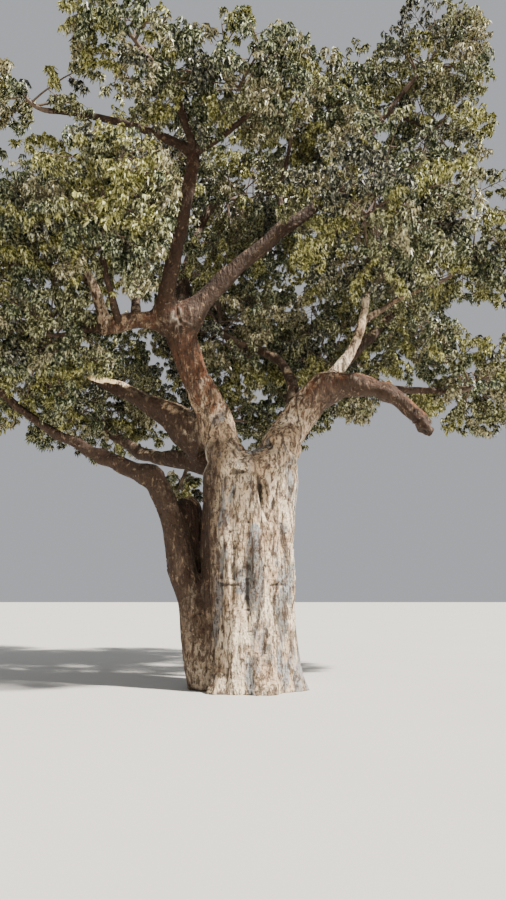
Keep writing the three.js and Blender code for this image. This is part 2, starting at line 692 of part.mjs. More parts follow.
// Each limb that reaches past the trunk is cut clear of it and of the limbs before it.
const cutters = [trunkSolid(walks, TOUCH_GAP)];
for (const walk of walks.values()) {
  const first = walk.from ? 0 : walk.rooted;
  if (first === 1) continue;
  tree.add(meshOf(walk.name, cutClear(limbSolid(walk, first, 1), cutters), BARK));
  cutters.push(limbSolid(walk, first, 1, TOUCH_GAP));
}

const rooms = MASSES.map((mass, index) => {
  const stem = stemOf(mass, walks);
  const leafLength = Math.min(LEAF_LENGTH, LEAF_OF_ROOM * Math.min(...mass.size));
  return { twigs: TWIGS, ...mass, stem, middle: stem.middle, leafLength, seed: index + 1 };
});
const wood = [...walks.values()].flatMap(stretchesOfLimb);
const spots = bareSpots(walks);
for (const room of rooms) {
  tree.add(meshOf(`leaves_${room.name}`, massSolid(room, rooms, wood, spots), FOLIAGE));
}

export default tree;
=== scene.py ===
# %% [markdown]
# # A baobab, from its foot to its last leaf
#
# This lesson dresses the plain solids of a baobab. The wood becomes one skin with real relief, grown
# together where limbs meet, and each mass of foliage becomes twigs and leaves that grow on from the
# tips of the limbs. The rule of growth is the one that shaped the solids, carried to finer twigs.

# %% The frame that everything is built around
import math
from types import SimpleNamespace

import bpy
import numpy as np
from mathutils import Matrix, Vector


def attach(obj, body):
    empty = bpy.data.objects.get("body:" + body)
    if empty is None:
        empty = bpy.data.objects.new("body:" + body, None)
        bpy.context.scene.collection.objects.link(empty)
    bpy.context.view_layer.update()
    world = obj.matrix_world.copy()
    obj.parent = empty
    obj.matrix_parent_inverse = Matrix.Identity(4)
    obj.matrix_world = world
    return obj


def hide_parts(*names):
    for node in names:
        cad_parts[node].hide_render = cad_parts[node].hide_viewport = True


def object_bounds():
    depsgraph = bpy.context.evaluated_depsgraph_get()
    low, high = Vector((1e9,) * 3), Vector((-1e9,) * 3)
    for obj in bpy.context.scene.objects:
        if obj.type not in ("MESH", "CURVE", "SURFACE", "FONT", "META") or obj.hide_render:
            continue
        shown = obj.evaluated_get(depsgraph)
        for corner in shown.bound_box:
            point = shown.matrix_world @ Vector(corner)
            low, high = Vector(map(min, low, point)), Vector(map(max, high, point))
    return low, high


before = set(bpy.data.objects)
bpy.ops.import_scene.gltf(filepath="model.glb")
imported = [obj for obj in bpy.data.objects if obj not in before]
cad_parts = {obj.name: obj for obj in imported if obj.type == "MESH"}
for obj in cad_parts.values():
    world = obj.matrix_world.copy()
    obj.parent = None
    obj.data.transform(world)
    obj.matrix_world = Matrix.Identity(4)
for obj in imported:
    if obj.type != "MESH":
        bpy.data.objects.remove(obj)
SOLID_BOX = [list(corner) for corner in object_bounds()]
print("solid box", SOLID_BOX)

# %% [markdown]
# The tree was seen from eye height, through a wide lens that was tipped up a little. The camera comes
# first.

# %% Camera
EYE_HEIGHT = 1.6
FRONT_SPOT = np.array([0.09, -12.3, EYE_HEIGHT])  # where the front of the tree is seen from
LENS_TILT = 12  # degrees above level
LENS_LENGTH = 27.04  # millimetres, as is the length of the film
FILM_LENGTH = 36  # along the taller side of the picture
FARTHEST_SEEN = 400

lens = bpy.data.cameras.new("camera")
lens.lens = LENS_LENGTH
lens.sensor_width = FILM_LENGTH
lens.clip_end = FARTHEST_SEEN
camera = bpy.data.objects.new("camera", lens)
camera.location = FRONT_SPOT
camera.rotation_euler = (math.radians(90 + LENS_TILT), 0, 0)
bpy.context.scene.collection.objects.link(camera)
bpy.context.scene.camera = camera
print("camera at", tuple(camera.location))

# %% [markdown]
# Small tools that the lesson leans on. Everything that is uneven on the tree comes either from a
# seeded stream of draws, or from noise that is worked out from a place, so each run is the same.

# %% Directions and blends
MM = 0.001
UP = np.array([0.0, 0.0, 1.0])


def unit(vectors):
    return vectors / np.linalg.norm(vectors, axis=-1, keepdims=True)


def direction(heading, rise):
    """The unit vector of a heading round Z and a rise above level, both in degrees."""
    turn, lift = np.radians(heading), np.radians(rise)
    return np.stack([np.cos(lift) * np.cos(turn), np.cos(lift) * np.sin(turn), np.sin(lift)], axis=-1)


def blend(low, high, share):
    return low + (high - low) * share


def ease(value, low, high):
    """0 below low, 1 above high and a smooth rise between them."""
    share = np.clip((value - low) / (high - low), 0, 1)
    return share * share * (3 - 2 * share)


def band(value, middle, half_width, power=2):
    """1 at the middle, falling off to both sides, more steeply with a higher power."""
    return np.exp(-(((value - middle) / half_width) ** power))


def spread(values, share):
    """The value at a share of the way along a row of evenly spaced values."""
    values = np.asarray(values, float)
    return np.interp(np.clip(share, 0, 1), np.linspace(0, 1, len(values)), values)


# %% Draws and noise
ALL_BITS = 0xFFFFFFFF  # of a whole number of 32 bits
DRAW_STEP = 0x6D2B79F5
AXIS_FACTORS = (0x9E3779B1, 0x85EBCA77, 0xC2B2AE3D)  # odd numbers that keep the axes apart
SEED_FACTOR = 7919
CELL_STIRS = ((15, 0x2C1B3C6D), (12, 0x297A2D39))  # shifts and factors that stir the bits of a cell


def draws_from(seed):
    """A stream of even draws between 0 and 1, the same as the one that shaped the solids."""
    state = seed & ALL_BITS

    def draw():
        nonlocal state
        state = (state + DRAW_STEP) & ALL_BITS
        mix = state
        mix = ((mix ^ (mix >> 15)) * (mix | 1)) & ALL_BITS
        mix ^= (mix + (((mix ^ (mix >> 7)) * (mix | 61)) & ALL_BITS)) & ALL_BITS
        return ((mix ^ (mix >> 14)) & ALL_BITS) / 2**32

    return draw


def drawn(least, more, draw):
    """What a draw between 0 and 1 makes of a value: at least so much, and up to so much more."""
    return least + more * draw


def centred(span, draw):
    """What a draw between 0 and 1 makes of a value that lies evenly round 0 in a span."""
    return span * (draw - 0.5)


def cell_value(cells, seed):
    """A fixed number between -1 and 1 for each whole cell of space."""
    x, y, z = (cells[..., axis].astype(np.uint32) * np.uint32(AXIS_FACTORS[axis]) for axis in range(3))
    mix = (x ^ y ^ z) + np.uint32(seed * SEED_FACTOR)
    for shift, factor in CELL_STIRS:
        mix = (mix ^ (mix >> np.uint32(shift))) * np.uint32(factor)
    return (mix ^ (mix >> np.uint32(15))) / 2.0**31 - 1


def unevenness(places, seed):
    """Smooth noise from -1 to 1 whose bumps are about one unit across."""
    cell = np.floor(places)
    part = places - cell
    part = part * part * (3 - 2 * part)
    cell = cell.astype(np.int64)
    total = np.zeros(places.shape[:-1])
    for corner in range(8):
        step = np.array([corner & 1, corner >> 1 & 1, corner >> 2 & 1])
        weight = np.prod(np.where(step == 1, part, 1 - part), axis=-1)
        total += weight * cell_value(cell + step, seed)
    return total


def thin_lines(places, seed, sharpness):
    """1 on the lines where the noise passes through 0, and 0 a little to both sides of them."""
    return np.clip(1 - sharpness * np.abs(unevenness(places, seed)), 0, 1)


# %% A mesh from arrays
def mesh_piece(name, points, faces, material, smooth=False, normals=None, **values):
    """A mesh object from arrays of points and of faces with equal numbers of corners.

    Each named value is a row of numbers for the points, which a finish can read.
    """
    mesh = bpy.data.meshes.new(name)
    mesh.vertices.add(len(points))
    mesh.vertices.foreach_set("co", np.asarray(points, np.float32).ravel())
    mesh.loops.add(faces.size)
    mesh.loops.foreach_set("vertex_index", np.asarray(faces, np.int32).ravel())
    mesh.polygons.add(len(faces))
    mesh.polygons.foreach_set("loop_start", np.arange(len(faces), dtype=np.int32) * faces.shape[1])
    mesh.update(calc_edges=True)
    mesh.polygons.foreach_set("use_smooth", np.full(len(faces), smooth))
    for value_name, numbers in values.items():
        held = mesh.attributes.new(value_name, "FLOAT", "POINT")
        held.data.foreach_set("value", np.asarray(numbers, np.float32))
    if normals is not None:
        mesh.normals_split_custom_set_from_vertices(normals)
    mesh.materials.append(material)
    piece = bpy.data.objects.new(name, mesh)
    bpy.context.scene.collection.objects.link(piece)
    return piece


# %% [markdown]
# ## The limbs
#
# The wood follows the same named sizes as the solids, in millimetres and degrees. Each limb leaves
# its parent at a share of the parent's length, or has a start of its own, turns evenly from its first
# heading and rise to its last, and has its radii evenly spread along it. They are walked in short
# steps, as a turtle would.

# %% Limbs
LIMBS = {
    "side_stem": dict(start=(-742, -100, -120), heading=(-197, -173), rise=(85, 66), length=4010,
                      radii=(310, 285, 262, 248, 238, 205)),
    "web": dict(start=(-800, 200, -100), heading=(150, 168), rise=(86, 81), length=3250,
                radii=(250, 240, 250, 275, 270)),
    "left_limb": dict(of="side_stem", at=0.985, heading=(172, 170), rise=(18, 44), length=4260,
                      radii=(175, 128, 100, 80, 62)),
    "left_bough": dict(start=(-220, 0, 3740), heading=(-170, -153), rise=(65, 71), length=3090,
                       radii=(425, 340, 285, 255, 265, 285)),
    "left_arm": dict(of="left_bough", at=0.97, heading=(-171, -169), rise=(18, -31), length=1430,
                     radii=(245, 172, 165, 170, 130)),
    "upright": dict(of="left_arm", at=0.2, heading=(-81, 4), rise=(58, 89), length=3320,
                    radii=(200, 160, 140, 130, 122, 122)),
    "upright_left": dict(of="upright", at=0.99, heading=(-160, -158), rise=(19, -13), length=2650,
                         radii=(95, 72, 58, 45)),
    "upright_top": dict(of="upright", at=0.99, heading=(-98, -115), rise=(24, -2), length=1970,
                        radii=(92, 70, 56, 45)),
    "upright_right": dict(of="upright", at=0.99, heading=(-39, -33), rise=(-8, 27), length=1290,
                          radii=(78, 55, 42)),
    "right_arm": dict(of="left_bough", at=0.97, heading=(-6, -3), rise=(50, 34), length=3920,
                      radii=(255, 185, 162, 152, 130, 105)),
    "arm_riser": dict(of="right_arm", at=0.72, heading=(166, -40), rise=(77, 78), length=1910,
                      radii=(72, 52, 40)),
    "arm_front": dict(of="right_arm", at=0.95, heading=(-46, -47), rise=(-38, -45), length=900,
                      radii=(70, 55, 45)),
    "peak_limb": dict(of="right_arm", at=0.99, heading=(40, 13), rise=(58, 56), length=3660,
                      radii=(98, 82, 68, 55)),
    "right_fan": dict(of="peak_limb", at=0.79, heading=(26, 27), rise=(14, -14), length=880,
                      radii=(56, 44, 36)),
    "left_arm_up": dict(of="left_arm", at=0.97, heading=(-165, -149), rise=(78, 57), length=1320,
                        radii=(122, 95, 70)),
    "arm_drop": dict(of="left_arm", at=0.97, heading=(-175, -192), rise=(0, -12), length=660,
                     radii=(85, 60, 50)),
    "left_out": dict(of="left_arm_up", at=0.68, heading=(-182, -191), rise=(34, -3), length=1800,
                     radii=(72, 56, 45)),
    "arm_fore": dict(of="left_arm", at=0.79, heading=(-91, -98), rise=(13, 50), length=1670,
                     radii=(82, 60, 45)),
    "arm_back": dict(of="left_arm", at=0.58, heading=(102, 107), rise=(50, 58), length=3330,
                     radii=(105, 85, 70, 58)),
    "broken_bough": dict(start=(-690, 200, 4330), heading=(164, 178), rise=(38, 25), length=2960,
                         radii=(420, 345, 260, 205, 145, 60)),
    "back_left": dict(start=(-640, 400, 4060), heading=(143, 140), rise=(4, 33), length=3420,
                      radii=(265, 185, 145, 115, 92)),
    "back_sprout": dict(of="back_left", at=0.2, heading=(102, 117), rise=(-16, -43), length=500,
                        radii=(55, 42, 34)),
    "right_bough": dict(start=(370, 0, 3740), heading=(0, 0), rise=(72, 44), length=1970,
                        radii=(425, 345, 310, 312, 300)),
    "right_stub": dict(of="right_bough", at=0.95, heading=(1, -8), rise=(25, -22), length=1180,
                       radii=(275, 205, 222, 150)),
    "right_stub_end": dict(of="right_stub", at=1, heading=(-8, -17), rise=(-22, -68), length=1180,
                           radii=(150, 138, 145, 150)),
    "pale_limb": dict(of="right_bough", at=0.98, heading=(5, 32), rise=(46, 82), length=2400,
                      radii=(172, 110, 88, 70)),
    "pale_side": dict(of="pale_limb", at=0.72, heading=(10, 12), rise=(39, 23), length=1780,
                      radii=(66, 52, 44)),
    "right_reach": dict(of="right_stub", at=0.76, heading=(42, 16), rise=(7, 5), length=2370,
                        radii=(105, 75, 52)),
    "back_arch": dict(of="right_bough", at=0.42, heading=(48, 164), rise=(74, 24), length=3300,
                      radii=(165, 118, 95, 78)),
    "back_rise": dict(start=(-430, 430, 4150), heading=(172, 42), rise=(68, 66), length=7000,
                      radii=(270, 200, 160, 125, 92)),
    "back_mid": dict(of="back_rise", at=0.3, heading=(84, 80), rise=(2, -6), length=1900,
                     radii=(95, 70, 52)),
    "back_right": dict(of="right_bough", at=0.9, heading=(63, 39), rise=(36, 43), length=4780,
                       radii=(205, 145, 115, 85)),
    "back_low": dict(of="back_right", at=0.35, heading=(92, 91), rise=(-12, -8), length=1280,
                     radii=(72, 55, 46)),
    "peak_side": dict(of="peak_limb", at=0.5, heading=(170, 160), rise=(62, 70), length=760,
                      radii=(58, 48, 40)),
}
LIMB_STEPS = 12  # even steps in a limb's walk


def heading_along(limb, share):
    return direction(blend(*limb["heading"], share), blend(*limb["rise"], share))


def point_along(walk, share):
    place = np.clip(share, 0, 1) * LIMB_STEPS
    below = np.minimum(np.floor(place).astype(int), LIMB_STEPS - 1)
    part = np.asarray(place - below)[..., None]
    return walk["points"][below] * (1 - part) + walk["points"][below + 1] * part


def walk_limb(limb, walks):
    """The limb with the points of its walk, in metres."""
    parent = walks.get(limb.get("of"))
    start = point_along(parent, limb["at"]) if parent else np.array(limb["start"]) * MM
    shares = (np.arange(LIMB_STEPS) + 0.5) / LIMB_STEPS
    steps = heading_along(limb, shares) * limb["length"] * MM / LIMB_STEPS
    points = np.vstack([start, start + np.cumsum(steps, axis=0)])
    return {**limb, "points": points, "radii": np.array(limb["radii"]) * MM, "length": limb["length"] * MM}


walks = {}
for limb_name, limb in LIMBS.items():
    walks[limb_name] = walk_limb(limb, walks)
print(len(walks), "limbs walked")

# %% [markdown]
# The old column is no plain tube. Flutes lean a little as they climb it, its foot is swollen, and a deep
# fold runs down from the fork, where its two great boughs press against each other. How far its skin
# stands out is worked out for any heading and height, by the same sums as in the solids.

# %% Sizes of the column
COLUMN_HEIGHTS = (0, 450, 1500, 2900, 3700, 4000)  # millimetres, as are the middles and halves there
COLUMN_MIDDLES = (20, 45, 0, 10, 35, 70)
COLUMN_HALVES = (835, 795, 795, 825, 880, 850)
COLUMN_FLATNESS = 0.92  # the depth of the column for its width
SHOULDER_HEIGHT = 4.0  # metres, as are all the sizes that follow
CROTCH_HEIGHT = 4.18
FLUTES = 7
FLUTE_DEPTH = 0.022
FLUTE_LEAN = 12  # degrees for each metre of height
ROOT_HEADINGS = (-128, -78, -14, 42, 104, 152)
ROOT_REACH = 0.19
ROOT_HALF_WIDTH = 17  # degrees
ROOT_FADE = 0.33
FOLD_TOP_HEADING = -84
FOLD_FOOT_HEADING = -60
FOLD_FOOT_HEIGHT = 2.5
FOLD_DEPTH = 0.17
FOLD_HALF_WIDTH = 11  # degrees

STATION_HEIGHTS = np.array(COLUMN_HEIGHTS) * MM
STATION_MIDDLES = np.array(COLUMN_MIDDLES) * MM
STATION_HALVES = np.array(COLUMN_HALVES) * MM


# %% Reach of the column
def eased_between(heights, values, height):
    """The value at a height, eased from each station to the next as the solid column does."""
    above = np.clip(np.searchsorted(heights, height), 1, len(heights) - 1)
    low, high = heights[above - 1], heights[above]
    return blend(values[above - 1], values[above], ease(height, low, high))


def column_middle(height):
    return eased_between(STATION_HEIGHTS, STATION_MIDDLES, np.clip(height, 0, SHOULDER_HEIGHT))


def hump(heading, middle, half_width):
    """1 at the middle heading, falling off round the column to both sides."""
    off = (heading - middle + 180) % 360 - 180
    return band(off, 0, half_width)


def fold_heading(height):
    """Where the fold runs at a height, and the share of its depth that it has there."""
    share = ease(height, FOLD_FOOT_HEIGHT, CROTCH_HEIGHT)
    return blend(FOLD_FOOT_HEADING, FOLD_TOP_HEADING, share), share


def column_reach(heading, height):
    """How far the column's skin stands from its middle line, as in the solids."""
    half = eased_between(STATION_HEIGHTS, STATION_HALVES, np.clip(height, 0, SHOULDER_HEIGHT))
    flute = FLUTE_DEPTH * np.cos(np.radians(FLUTES * (heading + FLUTE_LEAN * height)))
    root = np.max([hump(heading, at, ROOT_HALF_WIDTH) for at in ROOT_HEADINGS], axis=0)
    at, share = fold_heading(height)
    folds = hump(heading, at, FOLD_HALF_WIDTH) + hump(heading, -at, FOLD_HALF_WIDTH)
    return half + flute + root * ROOT_REACH * np.exp(-height / ROOT_FADE) - folds * FOLD_DEPTH * share


print("column reaches", round(float(column_reach(0, SHOULDER_HEIGHT)), 2), "m to its right at the shoulder")

# %% [markdown]
# ## Wood grown together
#
# On the real tree a bough has no seam where it leaves the trunk: the bark flows over the joint. The
# limbs could be joined by Booleans, which leave sharp creases, or skinned by hand. Here the column and
# each stout limb are closed tubes, a voxel remesh makes one skin of them all, and the skin is then
# relaxed only where two limbs meet, which fills each crease as growth does. A pebble of wood fills the
# saddle between the two great boughs, and a broad web closes the cleft beside the side stem.

# %% Sizes of the tubes
TUBE_SIDES = ((0.2, 28), (0.1, 18), (0.0, 12))  # a first radius, and the sides of a tube thicker than it
TUBE_STEP = 0.09  # metres between the rings of a tube
FEWEST_RINGS = 8
FLARE = 0.42  # how much wider a limb gets near its parent
FLARE_FADE = 0.9  # how soon that dies away, in first radii
FLARE_PLACE = 0.9  # and how far up the limb it is greatest, in fades
SHOULDERS = {"left_bough": 0.95, "right_bough": 0.95}  # how much deeper than wide each starts in the column
SHOULDER_REACH = 1.35  # metres over which that dies away
SADDLE_MIDDLE = (0.07, -0.12, 3.64)  # of the wood that fills the crotch between the two boughs
SADDLE_REACH = (0.5, 0.66, 0.42)
SWAY = 0.32  # how far a limb wavers about its middle line, in radii
SWAY_LENGTH = 0.55  # metres along it from one waver to the next
SWAY_SEEDS = (81, 82, 83)
END_ROUNDING = ((0.4, 0.9), (0.7, 0.7), (0.9, 0.42))  # places past an end and radii there, in end radii


# %% Rings round a limb
def closed_tube(rings):
    """Points and triangles of a tube through rings of equal size, closed by a hub at each end."""
    levels, sides = rings.shape[:2]
    points = np.vstack([rings.reshape(-1, 3), rings[0].mean(axis=0), rings[-1].mean(axis=0)])
    side = np.arange(sides)
    after = (side + 1) % sides
    faces = []
    for level in range(levels - 1):
        low, high = level * sides, (level + 1) * sides
        faces.append(np.stack([low + side, low + after, high + after], axis=1))
        faces.append(np.stack([low + side, high + after, high + side], axis=1))
    foot, head = levels * sides, levels * sides + 1
    top = (levels - 1) * sides
    faces.append(np.stack([np.full(sides, foot), after, side], axis=1))
    faces.append(np.stack([np.full(sides, head), top + side, top + after], axis=1))
    return points, np.vstack(faces)


def sway_of(walk, share):
    """How far a limb wavers sideways there, less and less towards its ends."""
    place = np.array([share * walk["length"] / SWAY_LENGTH, *walk["points"][0][:2] * 5])
    waver = np.array([unevenness(place[None], seed)[0] for seed in SWAY_SEEDS])
    return SWAY * spread(walk["radii"], share) * 4 * share * (1 - share) * waver


def pebble_rings(middle, reach, levels=9, sides=28):
    """Rings of a closed shell in the shape of a pebble."""
    lift = np.radians(np.linspace(-80, 80, levels))[:, None]
    turn = np.linspace(0, 2 * math.pi, sides, endpoint=False)[None]
    rounded = [np.cos(lift) * np.cos(turn), np.cos(lift) * np.sin(turn), np.sin(lift) + 0 * turn]
    return np.array(middle) + np.array(reach) * np.stack(rounded, axis=-1)


def limb_rings(walk, flared=True, depth=0.0):
    """Rings round a limb, wider where it leaves its parent and rounded off at its end."""
    first = walk["radii"][0]
    sides = next(count for radius, count in TUBE_SIDES if first > radius)
    levels = max(FEWEST_RINGS, int(walk["length"] / TUBE_STEP))
    across = np.array([0.0, 1.0, 0.0])
    angle = np.linspace(0, 2 * math.pi, sides, endpoint=False)[:, None]
    rings = []
    for share in np.linspace(0, 1, levels):
        along = heading_along(walk, share)
        across = unit(across - along * (across @ along))
        ring = np.cos(angle) * across + np.sin(angle) * np.cross(along, across)
        gone = share * walk["length"]
        swell = FLARE * band(gone / (FLARE_FADE * first), FLARE_PLACE, 1) if flared else 0
        reach = spread(walk["radii"], share) * (1 + swell)
        deeper = 1 + depth * (1 - ease(gone, 0, SHOULDER_REACH))
        rings.append(point_along(walk, share) + sway_of(walk, share) + reach * ring * [1, deeper, 1])
    for past, size in END_ROUNDING:
        rings.append(point_along(walk, 1) + reach * (past * along + size * ring))
    return np.array(rings)


# %% Rings round the column
SKIN_FOOT = -0.03  # the skin starts just under the ground and is then cut flat
SKIN_SHOULDER = 3.72  # where the column begins to round off under its boughs
FOLD_FILLED = (3.3, 3.7)  # heights between which the wood of the boughs fills the fold again
COLUMN_SIDES = 96
COLUMN_LEVELS = 90
HEAD_SIZES = (0.98, 0.93, 0.85, 0.74, 0.58, 0.38)  # of the rings that round off the head of the column


def skin_reach(heading, height):
    """The column's own reach, with the fold filled near the crotch."""
    at, share = fold_heading(height)
    filled = FOLD_DEPTH * share * ease(height, *FOLD_FILLED)
    return column_reach(heading, height) + filled * hump(heading, at, FOLD_HALF_WIDTH)


def column_ring(heading, height, size=1.0):
    """A ring of the column's skin at a height, drawn in to a share of its size."""
    turn = np.radians(heading)
    reach = skin_reach(heading, height) * size
    across = column_middle(height) + reach * np.cos(turn)
    return np.stack([across, reach * COLUMN_FLATNESS * np.sin(turn), np.full_like(turn, height)], axis=1)


def column_rings():
    heading = np.linspace(0, 360, COLUMN_SIDES, endpoint=False)
    heights = np.linspace(SKIN_FOOT, SKIN_SHOULDER, COLUMN_LEVELS)
    rings = [column_ring(heading, height) for height in heights]
    for size in HEAD_SIZES:
        height = blend(SKIN_SHOULDER, CROTCH_HEIGHT, math.sqrt(1 - size**2))
        rings.append(column_ring(heading, height, size))
    return np.array(rings)


# %% One skin of many shells
VOXEL = 0.027
BOUGH_RADIUS = 0.098  # limbs that start thicker than this are part of the skin


def joined(shells):
    """Several shells of points and faces as one."""
    starts = np.cumsum([0] + [len(points) for points, _ in shells[:-1]])
    return (np.vstack([points for points, _ in shells]),
            np.vstack([faces + start for (_, faces), start in zip(shells, starts)]))


def voxel_skin(points, faces, size):
    """The outer skin of overlapping shells, as points and four-sided faces."""
    shell = mesh_piece("shells", points, faces, None)
    remesh = shell.modifiers.new("skin", "REMESH")
    remesh.mode = "VOXEL"
    remesh.voxel_size = size
    bpy.context.view_layer.update()
    skin = bpy.data.meshes.new_from_object(shell.evaluated_get(bpy.context.evaluated_depsgraph_get()))
    places = np.empty(len(skin.vertices) * 3)
    skin.vertices.foreach_get("co", places)
    corners = np.empty(len(skin.loops), np.int32)
    skin.loops.foreach_get("vertex_index", corners)
    old_mesh = shell.data
    bpy.data.objects.remove(shell)
    bpy.data.meshes.remove(old_mesh)
    bpy.data.meshes.remove(skin)
    return places.reshape(-1, 3), corners.reshape(-1, 4)


BOUGHS = {name: walk for name, walk in walks.items() if walk["radii"][0] >= BOUGH_RADIUS}
shells = [closed_tube(column_rings()), closed_tube(pebble_rings(SADDLE_MIDDLE, SADDLE_REACH))]
for name, walk in BOUGHS.items():
    shells.append(closed_tube(limb_rings(walk, "of" in walk, SHOULDERS.get(name, 0))))
for shell_points, _ in shells:
    np.maximum(shell_points[:, 2], SKIN_FOOT, out=shell_points[:, 2])
skin_points, skin_faces = voxel_skin(*joined(shells), VOXEL)
print("skin", len(skin_points), "points", len(skin_faces), "faces")

# %% [markdown]
# ## Relief of the bark
#
# A baobab's bark is smooth and thick, but old wood under it stands in folds and flutes, with lumps,
# shallow cracks and scars. A bump map alone would leave the outline too clean, so the larger relief
# is worked into the mesh. Each limb has noise of its own, stretched along it, and a point takes the
# relief of the limbs near it by how near they are.

# %% Which limb each point of the skin belongs to
SIDEWAYS = np.array([0.31, 0.95, 0.05])  # a way that no limb runs, from which turns round it are counted


def place_on_limb(walk, points):
    """Share along the limb, distance from its middle line and turn round it, for each point."""
    best = np.full(len(points), np.inf)
    share = np.zeros(len(points))
    foot = np.zeros_like(points)
    path = walk["points"]
    for step in range(LIMB_STEPS):
        start, end = path[step], path[step + 1]
        run = end - start
        part = np.clip((points - start) @ run / (run @ run), 0, 1)
        nearest = start + part[:, None] * run
        distance = np.linalg.norm(points - nearest, axis=1)
        closer = distance < best
        best[closer] = distance[closer]
        share[closer] = (step + part[closer]) / LIMB_STEPS
        foot[closer] = nearest[closer]
    along = heading_along(walk, share)
    across = unit(np.cross(along, SIDEWAYS))
    off = points - foot
    turn = np.arctan2(np.sum(off * np.cross(along, across), axis=1), np.sum(off * across, axis=1))
    return share, best, turn


def place_on_column(points):
    """The heading of each point round the column, and how far it stands off the column's skin."""
    off_x = points[:, 0] - column_middle(points[:, 2])
    off_y = points[:, 1] / COLUMN_FLATNESS
    heading = np.degrees(np.arctan2(off_y, off_x))
    outside = np.hypot(off_x, off_y) - skin_reach(heading, np.clip(points[:, 2], 0, CROTCH_HEIGHT))
    above = points[:, 2] - CROTCH_HEIGHT
    return heading, np.maximum(outside, above)


def gap_to(walk, points):
    """How far each point stands off a limb, or off the column, which has no walk."""
    if walk is None:
        return place_on_column(points)[1]
    share, distance, _ = place_on_limb(walk, points)
    return distance - spread(walk["radii"], share)


# %% Creases between limbs relaxed
STEP_PASSES = 4  # relaxing passes over the whole skin, against voxel steps
EVEN_PULL = 0.5
CREASE_PASSES = 45
CREASE_PULL = 0.55
CREASE_REACH = 0.5  # how far from a joint the skin is relaxed, in radii of the thinner limb
STOUTEST = 0.45  # the most that such a radius counts for
COLUMN_RADIUS = 0.8
OWN_SOFTNESS = 0.07  # metres over which one limb's relief gives way to the next one's


def relaxed(points, faces, pull, passes):
    """Moves each point towards the middle of its neighbours, by its own share of pull."""
    one = faces.ravel()
    other = np.roll(faces, -1, axis=1).ravel()
    size = len(points)
    count = np.bincount(one, minlength=size) + np.bincount(other, minlength=size)
    for _ in range(passes):
        sums = [np.bincount(one, points[other, axis], size) + np.bincount(other, points[one, axis], size)
                for axis in range(3)]
        points = points + pull[:, None] * (np.stack(sums, axis=1) / count[:, None] - points)
    return points


def outward(points, faces):
    """Unit normals at the points of a skin of four-sided faces."""
    corners = points[faces]
    face_normal = np.cross(corners[:, 2] - corners[:, 0], corners[:, 3] - corners[:, 1])
    total = np.stack([
        sum(np.bincount(faces[:, corner], face_normal[:, axis], len(points)) for corner in range(4))
        for axis in range(3)
    ], axis=1)
    return unit(total)


members = {"column": None, **BOUGHS}
skin_points = relaxed(skin_points, skin_faces, np.full(len(skin_points), EVEN_PULL), STEP_PASSES)
gaps = np.array([gap_to(walk, skin_points) for walk in members.values()])
two_nearest = np.partition(gaps, 1, axis=0)
first_radius = np.array([COLUMN_RADIUS if walk is None else walk["radii"][0] for walk in members.values()])
thinner = first_radius[np.argsort(gaps, axis=0)[:2]].min(axis=0)
crease = band(np.maximum(two_nearest[1], 0), 0, CREASE_REACH * np.minimum(STOUTEST, thinner))
skin_points = relaxed(skin_points, skin_faces, CREASE_PULL * crease, CREASE_PASSES)
belonging = np.exp(-(gaps - two_nearest[0]) / OWN_SOFTNESS)
belonging /= belonging.sum(axis=0)
print("creases relaxed on", int((crease > 0.3).sum()), "points")

# %% Relief of a limb
LUMP_HEIGHT = 0.085  # in radii, as is the next
RIDGE_HEIGHT = 0.05
FOLD_HEIGHT = 0.016  # in metres, as are the next two
CRACK_DEPTH = 0.02
GRAIN_HEIGHT = 0.006
STOUT_RADIUS = 0.3  # folds and cracks are lower on thinner wood than this
LUMPS = (0.55, 0.55, 0.4)  # how many across and along a limb to the radius
RIDGES = (1.9, 1.9, 0.4)
FOLDS = (9, 9, 1.7)  # how many across and along a limb to the metre
CRACKS = (3.2, 3.2, 5.5)
GRAIN = (17, 17, 8)
CRACK_SHARPNESS = 6
GNARLED = {  # how much lumpier than usual the wood of a limb is
    "side_stem": 1.6, "left_bough": 1.3, "upright": 1.7, "right_arm": 1.6, "left_arm": 3.0,
    "left_arm_up": 2.0, "broken_bough": 1.9, "right_bough": 1.4, "right_stub": 2.0,
    "right_stub_end": 2.2, "left_limb": 1.6,
}


def round_and_along(turn, radius, length):
    """A place on the unrolled skin, as a point of a straight tube in metres."""
    return np.stack([np.cos(turn) * radius, np.sin(turn) * radius, length], axis=1)


def bark_relief(turn, radius, length, size, seed, gnarl=1.0):
    """Lumps, ridges along the limb, folds, shallow cracks and grain, for wood of about that size."""
    tube = round_and_along(turn, radius, length)
    lumps = unevenness(tube * LUMPS / size, seed)
    ridges = unevenness(tube * RIDGES / size, seed + 1)
    folds = unevenness(tube * FOLDS, seed + 2)
    cracks = thin_lines(tube * CRACKS, seed + 3, CRACK_SHARPNESS)
    grain = unevenness(tube * GRAIN, seed + 4)
    stout = min(1, size / STOUT_RADIUS)
    coarse = size * gnarl * (LUMP_HEIGHT * lumps + RIDGE_HEIGHT * ridges)
    fine = FOLD_HEIGHT * gnarl * stout * folds - CRACK_DEPTH * stout * cracks**2
    return coarse + fine + GRAIN_HEIGHT * grain


# %% [markdown]
# The column has marks of its own, each placed by heading and height: pleats that run up it, two grooves
# that part upwards round the foot of the fold, creases across it, swellings at the foot that lean as
# they climb, and a ledge of wood under the fork.

